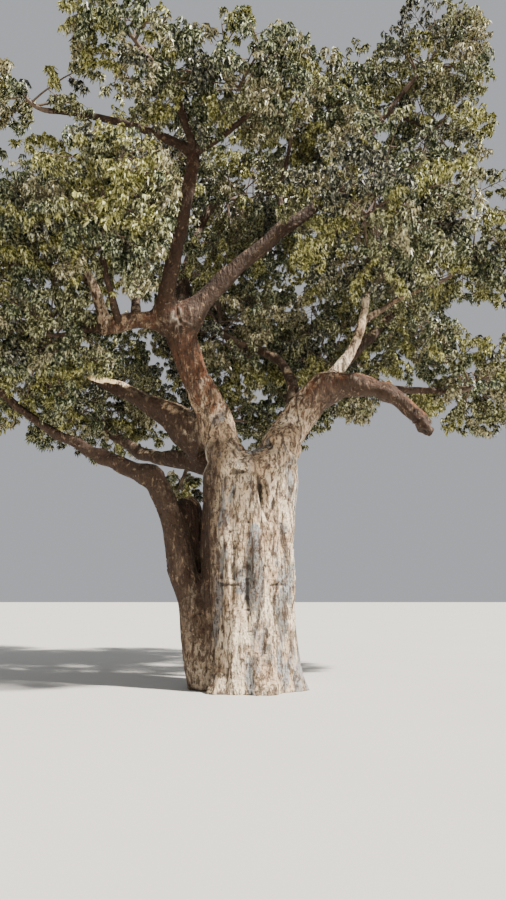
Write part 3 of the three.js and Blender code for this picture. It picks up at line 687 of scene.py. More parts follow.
# %% Pleats and grooves of the column
COLUMN_BARK = 0.6  # height of the plain relief on the column, against a limb's
BROAD_PLEATS, BROAD_PLEAT_HEIGHT = (4.6, 4.6, 0.75), 0.042  # how many to the metre, and their height
PLEATS, PLEAT_HEIGHT = (8.5, 8.5, 1.1), 0.036
FINE_PLEATS, FINE_PLEAT_HEIGHT = (17, 17, 2.6), 0.017
FLUTED_SIDE = (-148, 42)  # heading and half width of the side of the foot whose pleats are deepest
FLUTED_TOP = (1.5, 2.4)  # heights between which they become as shallow as the others
FLUTED_HEIGHT = 0.07
GROOVE_FOOT = 2.8  # the height at which the two grooves of the fold meet
GROOVE_FOOT_HEADING = -63
GROOVE_RISE = 1.1  # metres in which they part
GROOVES = (  # heading at the top, height of the top, depth, and which way its lip lies
    (-86, 3.95, 0.09, -1),
    (-47, 3.5, 0.075, 1),
)
GROOVE_HALF_WIDTH = 4.5  # degrees, as are the next three
GROOVE_WANDER = 2.5
LIP_OFF = 9
LIP_HALF_WIDTH = 6
LIP_SHARE = 0.3  # height of the lip, in depths of the groove
RECESS = (-66, 13)  # heading and half width of the sunken wood between the grooves
RECESS_DEPTH = 0.04
RECESS_START, RECESS_END = (2.9, 3.2), (3.6, 4.0)  # heights between which it sets in and fades out
GROOVE_START = (2.68, 3.0)  # heights between which a groove sets in
GROOVE_FADED, GROOVE_FADE = 0.8, 0.5  # how much shallower it is at its top, and metres in which it fades


def pleats(heading, height, tube):
    """Upright pleats of three widths."""
    fluted = hump(heading, *FLUTED_SIDE) * (1 - ease(height, *FLUTED_TOP))
    return (BROAD_PLEAT_HEIGHT * unevenness(tube * BROAD_PLEATS, 520)
            + (PLEAT_HEIGHT + FLUTED_HEIGHT * fluted) * unevenness(tube * PLEATS, 521)
            + FINE_PLEAT_HEIGHT * unevenness(tube * FINE_PLEATS, 524))


def fold_grooves(heading, height, tube):
    """Two grooves with a lip to the outside of each, and the recess between them."""
    wander = GROOVE_WANDER * unevenness(tube * [0, 0, 2.2] + 7.3, 522)
    opened = np.clip((height - GROOVE_FOOT) / GROOVE_RISE, 0, 1.2)
    recessed = ease(height, *RECESS_START) * (1 - ease(height, *RECESS_END))
    relief = -RECESS_DEPTH * recessed * hump(heading, *RECESS)
    for top_heading, top, depth, side in GROOVES:
        at = blend(GROOVE_FOOT_HEADING, top_heading, opened) + side * wander
        faded = GROOVE_FADED * ease(height, top - GROOVE_FADE, top)
        cut = depth * ease(height, *GROOVE_START) * (1 - faded)
        relief -= cut * hump(heading, at, GROOVE_HALF_WIDTH)
        relief += LIP_SHARE * cut * hump(heading, at + LIP_OFF * side, LIP_HALF_WIDTH)
    return relief


# %% Creases, swellings and ledge of the column
CREASES = (  # height, middle heading and half width in degrees, and depth
    (1.77, -116, 15, 0.02),
    (1.74, -47, 13, 0.022),
    (2.3, -75, 10, 0.01),
    (1.2, 60, 35, 0.014),
    (2.7, 130, 30, 0.016),
)
CREASE_SAG = 0.03
CREASE_HALF_HEIGHT = 0.022
CREASE_LIP = (0.06, 0.04)  # how far above the crease its lip lies, and the half height of it
CREASE_LIP_SHARE = 0.6
SWELLINGS = (  # heading and half width in degrees, reach, and the height at which it is nearly gone
    (-126, 8, 0.07, 0.9),
    (-103, 6, 0.04, 0.7),
    (-64, 8, 0.05, 0.8),
    (-28, 9, 0.05, 0.6),
    (80, 10, 0.06, 0.9),
    (128, 9, 0.05, 0.8),
)
SWELLING_LEAN = 6  # degrees for each metre of height
LEDGE = (-103, 13, 3.78, 0.055)  # heading, half width, height and half height
LEDGE_REACH = 0.08
UNDERCUT = (-101, 13, 3.66, 0.06)
UNDERCUT_DEPTH = 0.05


def creases(heading, height, tube):
    """Creases across the column that sag unevenly, each with a low lip above it."""
    relief = np.zeros(len(heading))
    for level, middle, half_width, depth in CREASES:
        sag = level + CREASE_SAG * unevenness(tube * [5, 5, 0] + level, 523)
        there = hump(heading, middle, half_width)
        relief -= depth * band(height, sag, CREASE_HALF_HEIGHT) * ease(there, 0.1, 0.5)
        relief += CREASE_LIP_SHARE * depth * band(height, sag + CREASE_LIP[0], CREASE_LIP[1]) * there
    return relief


def swellings(heading, height):
    """Swellings round the foot."""
    return sum(reach * hump(heading, middle + SWELLING_LEAN * height, half_width) * band(height, 0, top)
               for middle, half_width, reach, top in SWELLINGS)


def ledge_mark(heading, height, middle, half_width, level, half_height):
    return hump(heading, middle, half_width) * band(height, level, half_height)


def column_relief(heading, height):
    """All the relief of the old column, placed by heading and height."""
    turn = np.radians(heading)
    tube = round_and_along(turn, COLUMN_RADIUS, height)
    relief = COLUMN_BARK * bark_relief(turn, COLUMN_RADIUS, height, COLUMN_RADIUS, 500)
    relief += pleats(heading, height, tube) + fold_grooves(heading, height, tube)
    relief += creases(heading, height, tube) + swellings(heading, height)
    relief += LEDGE_REACH * ledge_mark(heading, height, *LEDGE)
    return relief - UNDERCUT_DEPTH * ledge_mark(heading, height, *UNDERCUT)


# %% Relief laid on the skin
WRINKLED = (4.15, 0.4)  # height and half height of the wrinkled wood at the fork
WRINKLES, WRINKLE_HEIGHT = (2.2, 2.2, 9), 0.045
LEFT_FIN = (4.0, 0.45)  # height and half height of the thin fin on the left of the fork
LEFT_FIN_HEADING, LEFT_FIN_HALF_WIDTH = -155, 3  # degrees
LEFT_FIN_LEVEL = 3.8  # the height at which it has that heading
LEFT_FIN_LEAN = 9  # degrees for each metre
LEFT_FIN_OFF_COLUMN = 0.1  # how far off the column's own surface it ends
LEFT_FIN_HEIGHT = 0.035
KNUCKLE_REACH = 0.42  # of the gnarled knuckle at the end of the left bough
FINS, FIN_SHARPNESS = (13, 13, 4), 2.4
FIN_HEIGHT = 0.06
FIN_SINK = 0.02  # how far the wood between the fins lies back
LEAST_BELONGING = 0.01  # a limb's relief is left out where it counts for less

relief = np.zeros(len(skin_points))
for member, (member_name, walk) in enumerate(members.items()):
    part = belonging[member] > LEAST_BELONGING
    near = skin_points[part]
    if walk is None:
        heading, _ = place_on_column(near)
        own = column_relief(heading, near[:, 2])
    else:
        share, _, turn = place_on_limb(walk, near)
        size = float(walk["radii"].mean())
        gnarl = GNARLED.get(member_name, 1)
        own = bark_relief(turn, size, share * walk["length"], size, 10 * member, gnarl)
    relief[part] += belonging[member][part] * own

column_heading, _ = place_on_column(skin_points)
skin_height = skin_points[:, 2]
relief += WRINKLE_HEIGHT * band(skin_height, *WRINKLED, power=4) * unevenness(skin_points * WRINKLES, 72)
left_fin = band(skin_height, *LEFT_FIN, power=4) * band(gaps[0], 0, LEFT_FIN_OFF_COLUMN)
left_fin_heading = LEFT_FIN_HEADING + LEFT_FIN_LEAN * (skin_height - LEFT_FIN_LEVEL)
left_fin *= hump(column_heading, left_fin_heading, LEFT_FIN_HALF_WIDTH)
relief += LEFT_FIN_HEIGHT * left_fin
knuckle = point_along(walks["left_bough"], 1)
near_knuckle = band(np.linalg.norm(skin_points - knuckle, axis=1), 0, KNUCKLE_REACH, power=4)
fins = thin_lines((skin_points - knuckle) * FINS, 71, FIN_SHARPNESS)
relief += near_knuckle * (FIN_HEIGHT * fins - FIN_SINK)
skin_points = skin_points + relief[:, None] * outward(skin_points, skin_faces)
print("relief from", round(relief.min(), 3), "to", round(relief.max(), 3), "m")

# %% [markdown]
# Two limbs are damaged and stay so. One bough broke off long ago and ends in a long slanting face of
# bare wood, and the heavy stub on the right ends in a knob with a rotten hollow. The slanting face is
# made by pressing the points that stand beyond its plane back onto it, and the hollow by pushing the
# points near its middle in along the limb.

# %% Broken face, hollow and flat foot
BREAK_SINK = 0.045  # how far the broken face lies behind the limb's tip
BREAK_SLOPE = 0.2
BREAK_LOOKS = np.array([0.0, -0.9, 0.3])  # where the face looks, apart from its slope along the limb
BREAK_LENGTH = 0.62
BREAK_REACH = 1  # no point farther from the tip than this is moved
SPLINTERS, SPLINTER_HEIGHT = (5, 16, 16), 0.012
KNOB_REACH = 0.3
KNOB_LUMPS, KNOB_LUMP_HEIGHT = 11, 0.055
HOLLOW_SHIFT = np.array([-0.07, -0.05, 0.0])  # from the middle of the knob to that of its hollow
HOLLOW_RADIUS = 0.13
HOLLOW_DEPTH = 0.12
HOLLOW_SLAB = 0.16  # only points this near to the plane of the knob's end are pushed in

broken = walks["broken_bough"]
broken_tip = point_along(broken, 1)
broken_way = heading_along(broken, 1)
break_way = unit(BREAK_SLOPE * broken_way + unit(BREAK_LOOKS))
from_tip = skin_points - broken_tip
beyond = from_tip @ break_way + BREAK_SINK
beyond += SPLINTER_HEIGHT * unevenness(skin_points * SPLINTERS, 61)
near_tip = (from_tip @ broken_way > -BREAK_LENGTH) & (np.linalg.norm(from_tip, axis=1) < BREAK_REACH)
at_break = (beyond > 0) & near_tip
skin_points[at_break] -= beyond[at_break, None] * break_way

stub = walks["right_stub_end"]
hollow_way = heading_along(stub, 1)
off = skin_points - (point_along(stub, 1) + HOLLOW_SHIFT)
on_knob = band(np.linalg.norm(off, axis=1), 0, KNOB_REACH, power=4)
lumps = KNOB_LUMP_HEIGHT * on_knob * unevenness(skin_points * KNOB_LUMPS, 62)
skin_points += lumps[:, None] * outward(skin_points, skin_faces)
off_axis = np.linalg.norm(off - (off @ hollow_way)[:, None] * hollow_way, axis=1)
dent = np.clip(1 - (off_axis / HOLLOW_RADIUS) ** 2, 0, 1) * (np.abs(off @ hollow_way) < HOLLOW_SLAB)
skin_points -= HOLLOW_DEPTH * dent[:, None] * hollow_way

skin_points[:, 2] = np.maximum(skin_points[:, 2], 0)
print(int(at_break.sum()), "points on the broken face,", int((dent > 0).sum()), "in the hollow")

# %% [markdown]
# Bark that lies deep is painted darker, as painted shade in its cracks and hollows. How far each point lies
# under its surroundings is worked out twice, against the skin smoothed a little and smoothed a lot. Each
# limb also has a tone, by how dark and how red its bark is, and the dark tone of limbs that stand in shade
# is partly painted shade. The tops of limbs are painted lighter, as painted light from above and in dabs of
# painted sunlight, and their undersides darker, as painted shade. The column is browner on its left, and
# darker there as painted shade, and has smooth grey patches. All of this is held at the points of the
# skin as plain numbers, which the finish reads.

# %% Tones of the wood
# Besides the bark's own tone, the dark values of the web, side stem, left limb, broken bough and back limbs
# paint the shade they stand in.
WOOD_TONES = {  # how dark and how red: 0 is the palest wood of the column, and 1 is well darkened
    "column": (0.0, 0.0), "web": (1.15, 0.1), "side_stem": (0.75, 0.3), "left_limb": (1.25, 0.5),
    "left_bough": (0.5, 0.85), "upright": (0.7, 0.9), "right_arm": (1.0, 0.9), "left_arm": (0.2, 0.55),
    "left_arm_up": (0.2, 0.3), "broken_bough": (0.8, 0.25), "back_left": (0.9, 0.3),
    "right_bough": (0.75, 0.7), "right_stub": (0.7, 0.9), "right_stub_end": (0.85, 1.0),
    "pale_limb": (0.1, 0.0), "pale_side": (0.5, 0.2), "back_arch": (0.9, 0.3),
}
USUAL_TONE = (0.85, 0.4)
OWN_TONE = (4.0, 6.0)  # heights between which a great bough takes on its own tone
STEM_FOOT = (0.5, 2.0)  # heights between which the side stem and the shaded brown side do
STEM_FOOT_SHARE = 0.75
TOP_PAINTED_LIGHT = 0.35  # how much less dark the bark is on top of a limb, as painted light from above
SHADE_DARKENED = 0.3  # and how much darker below it, as painted shade
DABS, DAB_PAINTED_LIGHT = 4.5, 0.95  # painted dabs of sunlight on top of limbs, to the metre, and how much less dark they are
DAB_EDGES, DAB_SIDES = (0.12, 0.42), (0.1, 0.6)  # where a dab sets in, and how far up the bark must face
UNDABBED = ("column", "side_stem", "left_limb", "right_arm")
SHADED_BROWN_SIDE = (-158, 38)  # heading and half width of the browner side of the column, darker there as painted shade
BROWN_SIDE_SHADE, BROWN_RED, BROWN_GREY = 0.85, 0.3, -1.2  # what that side adds to each tone, its darkness being painted shade
GREY_PATCHES = (  # heading, half width in degrees, height and half height of smooth grey bark
    (-103, 11, 3.5, 0.17),
    (-88, 11, 2.37, 0.42),
    (-115, 9, 2.2, 0.25),
    (-32, 12, 3.3, 0.35),
    (100, 30, 2.8, 0.6),
    (25, 25, 1.6, 0.5),
)
CRACK_PASSES, HOLLOW_PASSES = 5, 60  # how much the skin is smoothed to find its cracks and its hollows, which get painted shade
KNOB_HOLLOW_SHADE = 0.08  # how much deeper than it is the rotten hollow counts, so that it gets more painted shade


def depth_under(points, faces, passes):
    """How far each point lies under the skin smoothed by that many passes."""
    smooth = relaxed(points, faces, np.full(len(points), EVEN_PULL), passes)
    return ((smooth - points) * outward(points, faces)).sum(axis=1)


def limb_tones(which):
    """The tone of each point from the limbs near it: how dark it is for 0, and how red for 1."""
    tones = np.array([WOOD_TONES.get(name, USUAL_TONE)[which] for name in members])[:, None] * belonging
    for row, name in enumerate(members):
        if name in SHOULDERS:
            tones[row] *= ease(skin_points[:, 2], *OWN_TONE)
        if name == "side_stem":
            tones[row] *= paler_foot
    return tones.sum(axis=0)


facing_up = outward(skin_points, skin_faces)[:, 2]
paler_foot = blend(STEM_FOOT_SHARE, 1.0, ease(skin_points[:, 2], *STEM_FOOT))
off_column = 1 - belonging[0]
shaded_brown_side = belonging[0] * paler_foot * hump(column_heading, *SHADED_BROWN_SIDE)
# Painted light on the tops of limbs, painted shade under them, and painted dabs of sunlight on their tops
painted_top_light_under_shade = SHADE_DARKENED * np.maximum(-facing_up, 0) - TOP_PAINTED_LIGHT * np.maximum(facing_up, 0)
painted_sun_dabs = ease(unevenness(skin_points * DABS, 91), *DAB_EDGES) * ease(facing_up, *DAB_SIDES)
painted_sun_dabs *= 1 - sum(belonging[row] for row, name in enumerate(members) if name in UNDABBED)
grey = -off_column + BROWN_GREY * shaded_brown_side
for heading, half_width, level, half_height in GREY_PATCHES:
    patch = band(skin_points[:, 2], level, half_height, power=4) * hump(column_heading, heading, half_width)
    grey += belonging[0] * patch
skin_values = {
    "crack": depth_under(skin_points, skin_faces, CRACK_PASSES),
    "hollow": depth_under(skin_points, skin_faces, HOLLOW_PASSES) + KNOB_HOLLOW_SHADE * dent,
    "fin": np.maximum(near_knuckle * fins, left_fin),
    "dark": limb_tones(0) + off_column * (painted_top_light_under_shade - DAB_PAINTED_LIGHT * painted_sun_dabs) + BROWN_SIDE_SHADE * shaded_brown_side,
    "red": limb_tones(1) + BROWN_RED * shaded_brown_side,
    "grey": grey,
}
print("deepest hollow", round(float(skin_values["hollow"].max()), 3), "m")

# %% [markdown]
# ## Shader sums as Python
#
# A finish is easier to read when its sums look like sums. One small class wraps the output of a node,
# so that `1 - mask` or `mask * 0.5` adds the Math node that does it. Every other node comes from one
# method that takes the node's type, its settings and what goes into its sockets.


# %% A wrapper for shader sockets
class Wire:
    """An output of a shader node that can be used in sums."""

    def __init__(self, finish, socket):
        self.finish = finish
        self.socket = socket

    def worked(self, operation, first, second):
        return self.finish.node("ShaderNodeMath", {"operation": operation}, {0: first, 1: second})

    def __add__(self, other):
        return self.worked("ADD", self, other)

    __radd__ = __add__

    def __rsub__(self, other):
        return self.worked("SUBTRACT", other, self)

    def __mul__(self, other):
        return self.worked("MULTIPLY", self, other)

    __rmul__ = __mul__


# %% A finish
MIX_FIRST, MIX_SECOND, MIX_RESULT = 6, 7, 2  # the sockets of the Mix node that carry colours
DISTANCE_RESULT = 1
HELD_RESULT = 2
FADE_OF_SPOT = 1.35  # where a spot is gone, in reaches
RAGGEDNESS = 0.5


class Finish:
    """A new material. Its nodes are all made by node(), and shader() sets the Principled shader."""

    def __init__(self, name):
        self.material = bpy.data.materials.new(name)
        self.material.use_nodes = True
        self.nodes = self.material.node_tree.nodes
        self.links = self.material.node_tree.links
        self.place = self.node("ShaderNodeTexCoord", {}, {}, "Object")

    def feed(self, node, sockets):
        for key, value in sockets.items():
            if isinstance(value, Wire):
                self.links.new(value.socket, node.inputs[key])
            else:
                node.inputs[key].default_value = value

    def node(self, kind, settings, sockets, output=0):
        made = self.nodes.new(kind)
        for name, value in settings.items():
            setattr(made, name, value)
        self.feed(made, sockets)
        return Wire(self, made.outputs[output])

    def scaled(self, factors):
        """The place on the object with each axis scaled, which stretches a pattern."""
        return self.node("ShaderNodeVectorMath", {"operation": "MULTIPLY"}, {0: self.place, 1: factors})

    def noise(self, scale, detail=3, roughness=0.55, stretch=(1, 1, 1), warp=0.0):
        place = self.place if stretch == (1, 1, 1) else self.scaled(stretch)
        return self.node("ShaderNodeTexNoise", {}, {"Vector": place, "Scale": scale, "Detail": detail,
                                                    "Roughness": roughness, "Distortion": warp})

    def held(self, name):
        """A value that the mesh holds at its points."""
        return self.node("ShaderNodeAttribute", {"attribute_name": name}, {}, HELD_RESULT)

    def rise(self, value, low, high):
        """0 below low, 1 above high and a smooth rise between them."""
        return self.node("ShaderNodeMapRange", {"interpolation_type": "SMOOTHSTEP"},
                         {"Value": value, "From Min": low, "From Max": high})

    def colours(self, share, first, second):
        """The first colour where the share is 0, and the second where it is 1."""
        return self.node("ShaderNodeMix", {"data_type": "RGBA"},
                         {0: share, MIX_FIRST: first, MIX_SECOND: second}, MIX_RESULT)

    def layered(self, base, layers):
        """The base under layers, each a pattern, where it rises from and to, its strength and colour."""
        for pattern, low, high, strength, layer in layers:
            base = self.colours(self.rise(pattern, low, high) * strength, base, layer)
        return base

    def near(self, spot, reach, edge):
        """1 round a spot on the object, falling to 0 at its ragged edge."""
        far = self.node("ShaderNodeVectorMath", {"operation": "DISTANCE"}, {0: self.place, 1: spot},
                        DISTANCE_RESULT)
        return 1 - self.rise(far + RAGGEDNESS * edge, reach, reach * FADE_OF_SPOT)

    def bumps(self, height, strength, distance):
        return self.node("ShaderNodeBump", {},
                         {"Height": height, "Strength": strength, "Distance": distance})

    def shader(self, sockets):
        self.feed(self.nodes["Principled BSDF"], sockets)
        return self.material


# %% [markdown]
# ## Bark
#
# Baobab bark is pale beige, with smooth silver-grey patches, mottled with brown where flakes have come
# off, and streaked darker where rain runs. Higher up, and on the undersides, it is smoother; higher up it
# is redder, and the undersides are painted darker, as painted shade. An image would have to be painted and
# wrapped round the tree. Here the pattern is built from noises of several sizes, most of them drawn out
# along the trunk, and the numbers held by the skin say where it is dark, red or grey; the dark number
# carries painted shade and painted light as well. Pale spots lie below the fork and where the right bough
# bends, and the fins of the knuckle are bleached.

# %% Colours of bark
def light_of(part):
    """The light that a part of a screen colour from 0 to 1 stands for, by the usual curve."""
    return part / 12.92 if part <= 0.04045 else ((part + 0.055) / 1.055) ** 2.4


def colour(red, green, blue):
    """A colour given as it looks on screen, from 0 to 255, for a shader socket."""
    return tuple(light_of(part / 255) for part in (red, green, blue)) + (1,)


PALE_BARK = colour(250, 230, 198)
WARM_BARK = colour(200, 170, 136)
GREY_BARK = colour(90, 94, 94)
SILVER_BARK = colour(146, 150, 152)
FLAKED_BARK = colour(116, 96, 78)
# The two darkest colours serve both for dark marks in the bark and for painted shade.
DARK_BARK_AND_SHADE = colour(60, 41, 26)
DEEP_BARK_AND_SHADE = colour(30, 21, 14)
RED_BARK = colour(118, 71, 40)
BLEACHED = colour(232, 222, 202)
SPLIT_WOOD = colour(255, 232, 180)
AGED_WOOD = colour(216, 178, 124)
PALE_SPOTS = (  # place and reach in metres
    ((-0.16, -0.85, 3.82), 0.25),
    ((1.05, -0.2, 4.35), 0.3),
    ((2.0, -0.3, 5.55), 0.3),
)
PALE_SPOT_STRENGTH = 0.75

# %% Bark finish
# Each noise has its bumps to the metre, detail, roughness, stretch and warp.
bark = Finish("bark")
broad = bark.noise(1.3, 4, 0.6)
drip = bark.noise(2.6, 4, 0.6, (1, 1, 0.32), 0.5)
mottle = bark.noise(10, 4, 0.65, (1, 1, 0.45), 0.4)
fleck = bark.noise(27, 3, 0.6, (1, 1, 0.5))
streak = bark.noise(12, 3, 0.6, (1, 1, 0.15), 0.6)
tick = bark.noise(15, 3, 0.6, (1, 1, 0.34), 0.3)
dash = bark.noise(5, 3, 0.6, (1, 1, 3.6), 1.0)
scuff = bark.noise(11, 3, 0.65, (1, 1, 0.6), 0.8)

weathered = bark.colours(bark.rise(broad, 0.4, 0.56), GREY_BARK, SILVER_BARK)
bark_colour = bark.colours(bark.rise(broad, 0.36, 0.64), PALE_BARK, WARM_BARK)
bark_colour = bark.layered(bark_colour, (
    (drip + 0.1 * bark.held("grey"), 0.5, 0.58, 0.9, weathered),
    (mottle, 0.52, 0.6, 0.75, FLAKED_BARK),
    (mottle + 0.6 * bark.held("red"), 0.62, 0.94, 1, RED_BARK),
))
for spot, reach in PALE_SPOTS:
    bark_colour = bark.colours(bark.near(spot, reach, mottle) * PALE_SPOT_STRENGTH, bark_colour, BLEACHED)
# The held dark tone lays painted shade and painted light as well as darker bark, and the crack and hollow
# layers are painted shade.
bark_colour = bark.layered(bark_colour, (
    (bark.held("dark") + 0.45 * mottle + 0.35 * broad, 0.45, 1.25, 1, DARK_BARK_AND_SHADE),
    (scuff, 0.56, 0.66, 0.35, WARM_BARK),
    (streak, 0.53, 0.62, 0.75, DARK_BARK_AND_SHADE),
    (tick, 0.54, 0.6, 0.8, DARK_BARK_AND_SHADE),
    (dash, 0.58, 0.66, 0.35, DEEP_BARK_AND_SHADE),
    (fleck, 0.55, 0.65, 0.65, DEEP_BARK_AND_SHADE),
    (bark.held("fin"), 0.3, 1.0, 0.45, BLEACHED),
    (bark.held("crack"), 0.001, 0.009, 0.75, DEEP_BARK_AND_SHADE),
    (bark.held("hollow"), 0.015, 0.08, 0.75, DEEP_BARK_AND_SHADE),
))
bark_height = 0.5 * mottle + 0.3 * fleck + 0.2 * dash + 0.5 * streak + 0.4 * tick
bark.shader({
    "Base Color": bark_colour,
    "Roughness": bark.rise(mottle, 0.2, 0.9) * 0.15 + 0.78,
    "Normal": bark.bumps(bark_height, 1.0, 0.1),
})
print("bark is made of", len(bark.nodes), "nodes")

# %% Bare wood of the old break
bare_wood = Finish("bare_wood")
splinter = bare_wood.noise(9, 4, 0.6, (1, 5, 5))
bare_wood.shader({
    "Base Color": bare_wood.colours(bare_wood.rise(splinter, 0.35, 0.7), SPLIT_WOOD, AGED_WOOD),
    "Roughness": 0.8,
    "Normal": bare_wood.bumps(splinter, 0.6, 0.03),
})
print("bare wood is made of", len(bare_wood.nodes), "nodes")

# %% [markdown]
# The skin is cut into two pieces by the limb that each face lies on, so that neither is too heavy to
# handle. Both keep the normals of the whole skin, and the cut between them doesn't show. Slim limbs
# are tubes of their own, with the same relief, whose wide ends lie in the limb that carries them.

# %% Pieces of wood
SLIM_BOLDNESS = 1.6  # how much coarser than its size the relief of a slim limb is
LEFT_WOOD = ("column", "web", "side_stem", "left_limb", "back_left", "broken_bough")
SLIM_GREY = -1.0  # slim limbs have no grey patches


def part_of_skin(name, chosen, normals):
    """The chosen faces of the skin as a piece with the normals of the whole."""
    used, faces = np.unique(skin_faces[chosen], return_inverse=True)
    values = {value_name: numbers[used] for value_name, numbers in skin_values.items()}
    piece = mesh_piece(name, skin_points[used], faces.reshape(-1, 4), bark.material, True,
                       normals[used], **values)
    piece.data.materials.append(bare_wood.material)
    on_break = at_break[skin_faces[chosen]].all(axis=1).astype(np.int32)
    piece.data.polygons.foreach_set("material_index", on_break)
    return piece


def slim_limb(walk, seed):
    """A closed tube with relief for a limb that isn't part of the skin."""
    rings = limb_rings(walk)
    middles = rings.mean(axis=1, keepdims=True)
    ways = rings - middles
    reach = np.linalg.norm(ways, axis=2)
    size = float(walk["radii"].mean())
    levels, sides = reach.shape
    turn = np.tile(np.linspace(0, 2 * math.pi, sides, endpoint=False), levels)
    length = np.repeat(np.linspace(0, walk["length"], levels), sides)
    relief = bark_relief(turn, size, length, size * SLIM_BOLDNESS, seed).reshape(levels, sides)
    return closed_tube(middles + ways * ((reach + relief) / reach)[..., None])


normals = outward(skin_points, skin_faces)
member_names = list(members)
nearest_member = np.argmin(gaps, axis=0)[skin_faces[:, 0]]
is_left = np.isin(nearest_member, [member_names.index(name) for name in LEFT_WOOD])
trunk_skin = part_of_skin("trunk_skin", is_left, normals)
bough_skin = part_of_skin("bough_skin", ~is_left, normals)

slim = {name: walk for name, walk in walks.items() if name not in BOUGHS}
shells = [slim_limb(walk, 900 + 10 * index) for index, walk in enumerate(slim.values())]
tones = [WOOD_TONES.get(name, USUAL_TONE) for name in slim]
dark, red = np.repeat(tones, [len(points) for points, _ in shells], axis=0).T
slim_wood = mesh_piece("slim_limbs", *joined(shells), bark.material, True,
                       dark=dark, red=red, grey=np.full(len(dark), SLIM_GREY))

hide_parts("trunk", *[name for name in LEFT_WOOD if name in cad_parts])
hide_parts(*[name for name in BOUGHS if name not in LEFT_WOOD])
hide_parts(*slim)
for piece in (trunk_skin, bough_skin, slim_wood):
    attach(piece, "root")
    print(piece.name, len(piece.data.polygons), "faces")

# %% [markdown]
# ## Where the foliage grows
#
# Each mass of foliage has a room of its own round the end of a stem that carries its limb on. A room
# is a rounded space that its neighbours' rooms cut back where they meet, as crowns of branches do
# when they compete for light. Leaves keep off the wood, and out of the lines on which the bare
# boughs are seen from the front, because light shoots there were shed long ago.

# %% Masses of foliage
MASSES = {  # limb, heading and rise from its tip, how far off the room is, and its half sizes, in mm
    "top_left": dict(on="upright_top", aim=(-136, 28), reach=640, size=(900, 950, 1150), fullness=0.45,
                     twigs=4),
    "left_high": dict(on="upright_left", aim=(-161, 33), reach=620, size=(1600, 1100, 520), fullness=0.4,
                      twigs=4),
    "crown_front": dict(on="upright_right", aim=(-136, 36), reach=730, size=(1800, 1150, 1050),
                        fullness=1.2),
    "crown_mid": dict(on="arm_riser", aim=(22, 71), reach=1100, size=(1450, 1400, 1050), fullness=1.0),
    "peak": dict(on="peak_limb", aim=(16, 53), reach=1150, size=(1400, 1300, 1400), fullness=0.75),
    "right_high": dict(on="right_fan", aim=(35, -2), reach=560, size=(1150, 1600, 1450), fullness=0.55),
    "right_front": dict(on="arm_front", aim=(-62, -17), reach=770, size=(1800, 1700, 1500)),
    "pale_limb": dict(on="pale_limb", aim=(28, 67), reach=1760, size=(1800, 1900, 2000), fullness=1.2),
    "right_far": dict(on="pale_side", aim=(5, 41), reach=1440, size=(1450, 1900, 1300), fullness=0.6,
                      twigs=4),
    "right_low": dict(on="right_reach", aim=(19, 24), reach=650, size=(1650, 1900, 1000), fullness=0.9),
    "back_right": dict(on="back_right", aim=(73, 33), reach=1060, size=(1700, 1900, 2300), fullness=1.2,
                       twigs=4),
    "back_low": dict(on="back_low", aim=(117, 53), reach=1700, size=(2100, 1900, 2300), fullness=1.6),
    "back_rise": dict(on="back_rise", aim=(39, 23), reach=2210, size=(2500, 2000, 2400), fullness=2.1),
    "back_mid": dict(on="back_mid", aim=(71, -7), reach=1700, size=(1900, 1800, 1500), fullness=0.6,
                     twigs=4),
    "back_arch": dict(on="back_arch", aim=(116, 41), reach=1750, size=(2400, 2100, 2400), fullness=1.8),
    "back_left": dict(on="back_left", aim=(122, 58), reach=1580, size=(2200, 2100, 1850), fullness=1.4,
                      twigs=4),
    "between": dict(on="back_sprout", aim=(105, -19), reach=490, size=(520, 520, 430), fullness=0.4,
                    twigs=3),
    "left_limb": dict(on="left_limb", aim=(170, 17), reach=730, size=(1700, 2000, 1500), twigs=4),
    "left_arm": dict(on="left_arm_up", aim=(159, 63), reach=1180, size=(1650, 1700, 1450), fullness=1.2),
    "left_low": dict(on="arm_drop", aim=(176, 5), reach=750, size=(1800, 1800, 1750), fullness=1.2,
                     twigs=4),
    "left_back": dict(on="arm_back", aim=(70, 67), reach=2570, size=(2200, 2100, 2350), fullness=1.5,
                      twigs=4),
    "left_out": dict(on="left_out", aim=(173, 41), reach=1100, size=(1750, 2100, 1900), fullness=1.1),
    "left_fore": dict(on="arm_fore", aim=(-62, 13), reach=880, size=(1350, 1300, 1350), fullness=1.1),
    "peak_side": dict(on="peak_side", aim=(64, 71), reach=840, size=(800, 1000, 1000), fullness=0.45,
                      twigs=4),
}
MAIN_TWIGS = 5  # twigs that a mass has in the solids too, where it doesn't say otherwise
FINE_TWIGS = 11  # more twigs of a mass here, times its fullness


# %% Rooms and stems
def curve(path, share):
    """Points of a curve with a start, a bend and an end, at shares of its way."""
    start, bend, end = path
    share = np.asarray(share, float)[..., None]
    return (1 - share) ** 2 * start + 2 * share * (1 - share) * bend + share**2 * end


def curve_way(path, share):
    start, bend, end = path
    share = np.asarray(share, float)[..., None]
    return unit((1 - share) * (bend - start) + share * (end - bend))


def room_of(mass, seed):
    limb = walks[mass["on"]]
    reach = mass["reach"] * MM
    tip = point_along(limb, 1)
    middle = tip + reach * direction(*mass["aim"])
    stem = (tip, tip + heading_along(limb, 1) * reach / 2, middle)
    return SimpleNamespace(seed=seed, middle=middle, size=np.array(mass["size"]) * MM, stem=stem,
                           radius=limb["radii"][-1], main=mass.get("twigs", MAIN_TWIGS),
                           fine=round(FINE_TWIGS * mass.get("fullness", 1)))


rooms = [room_of(mass, index + 1) for index, mass in enumerate(MASSES.values())]
room_middles = np.array([room.middle for room in rooms])
room_sizes = np.array([room.size for room in rooms])
print(len(rooms), "rooms")

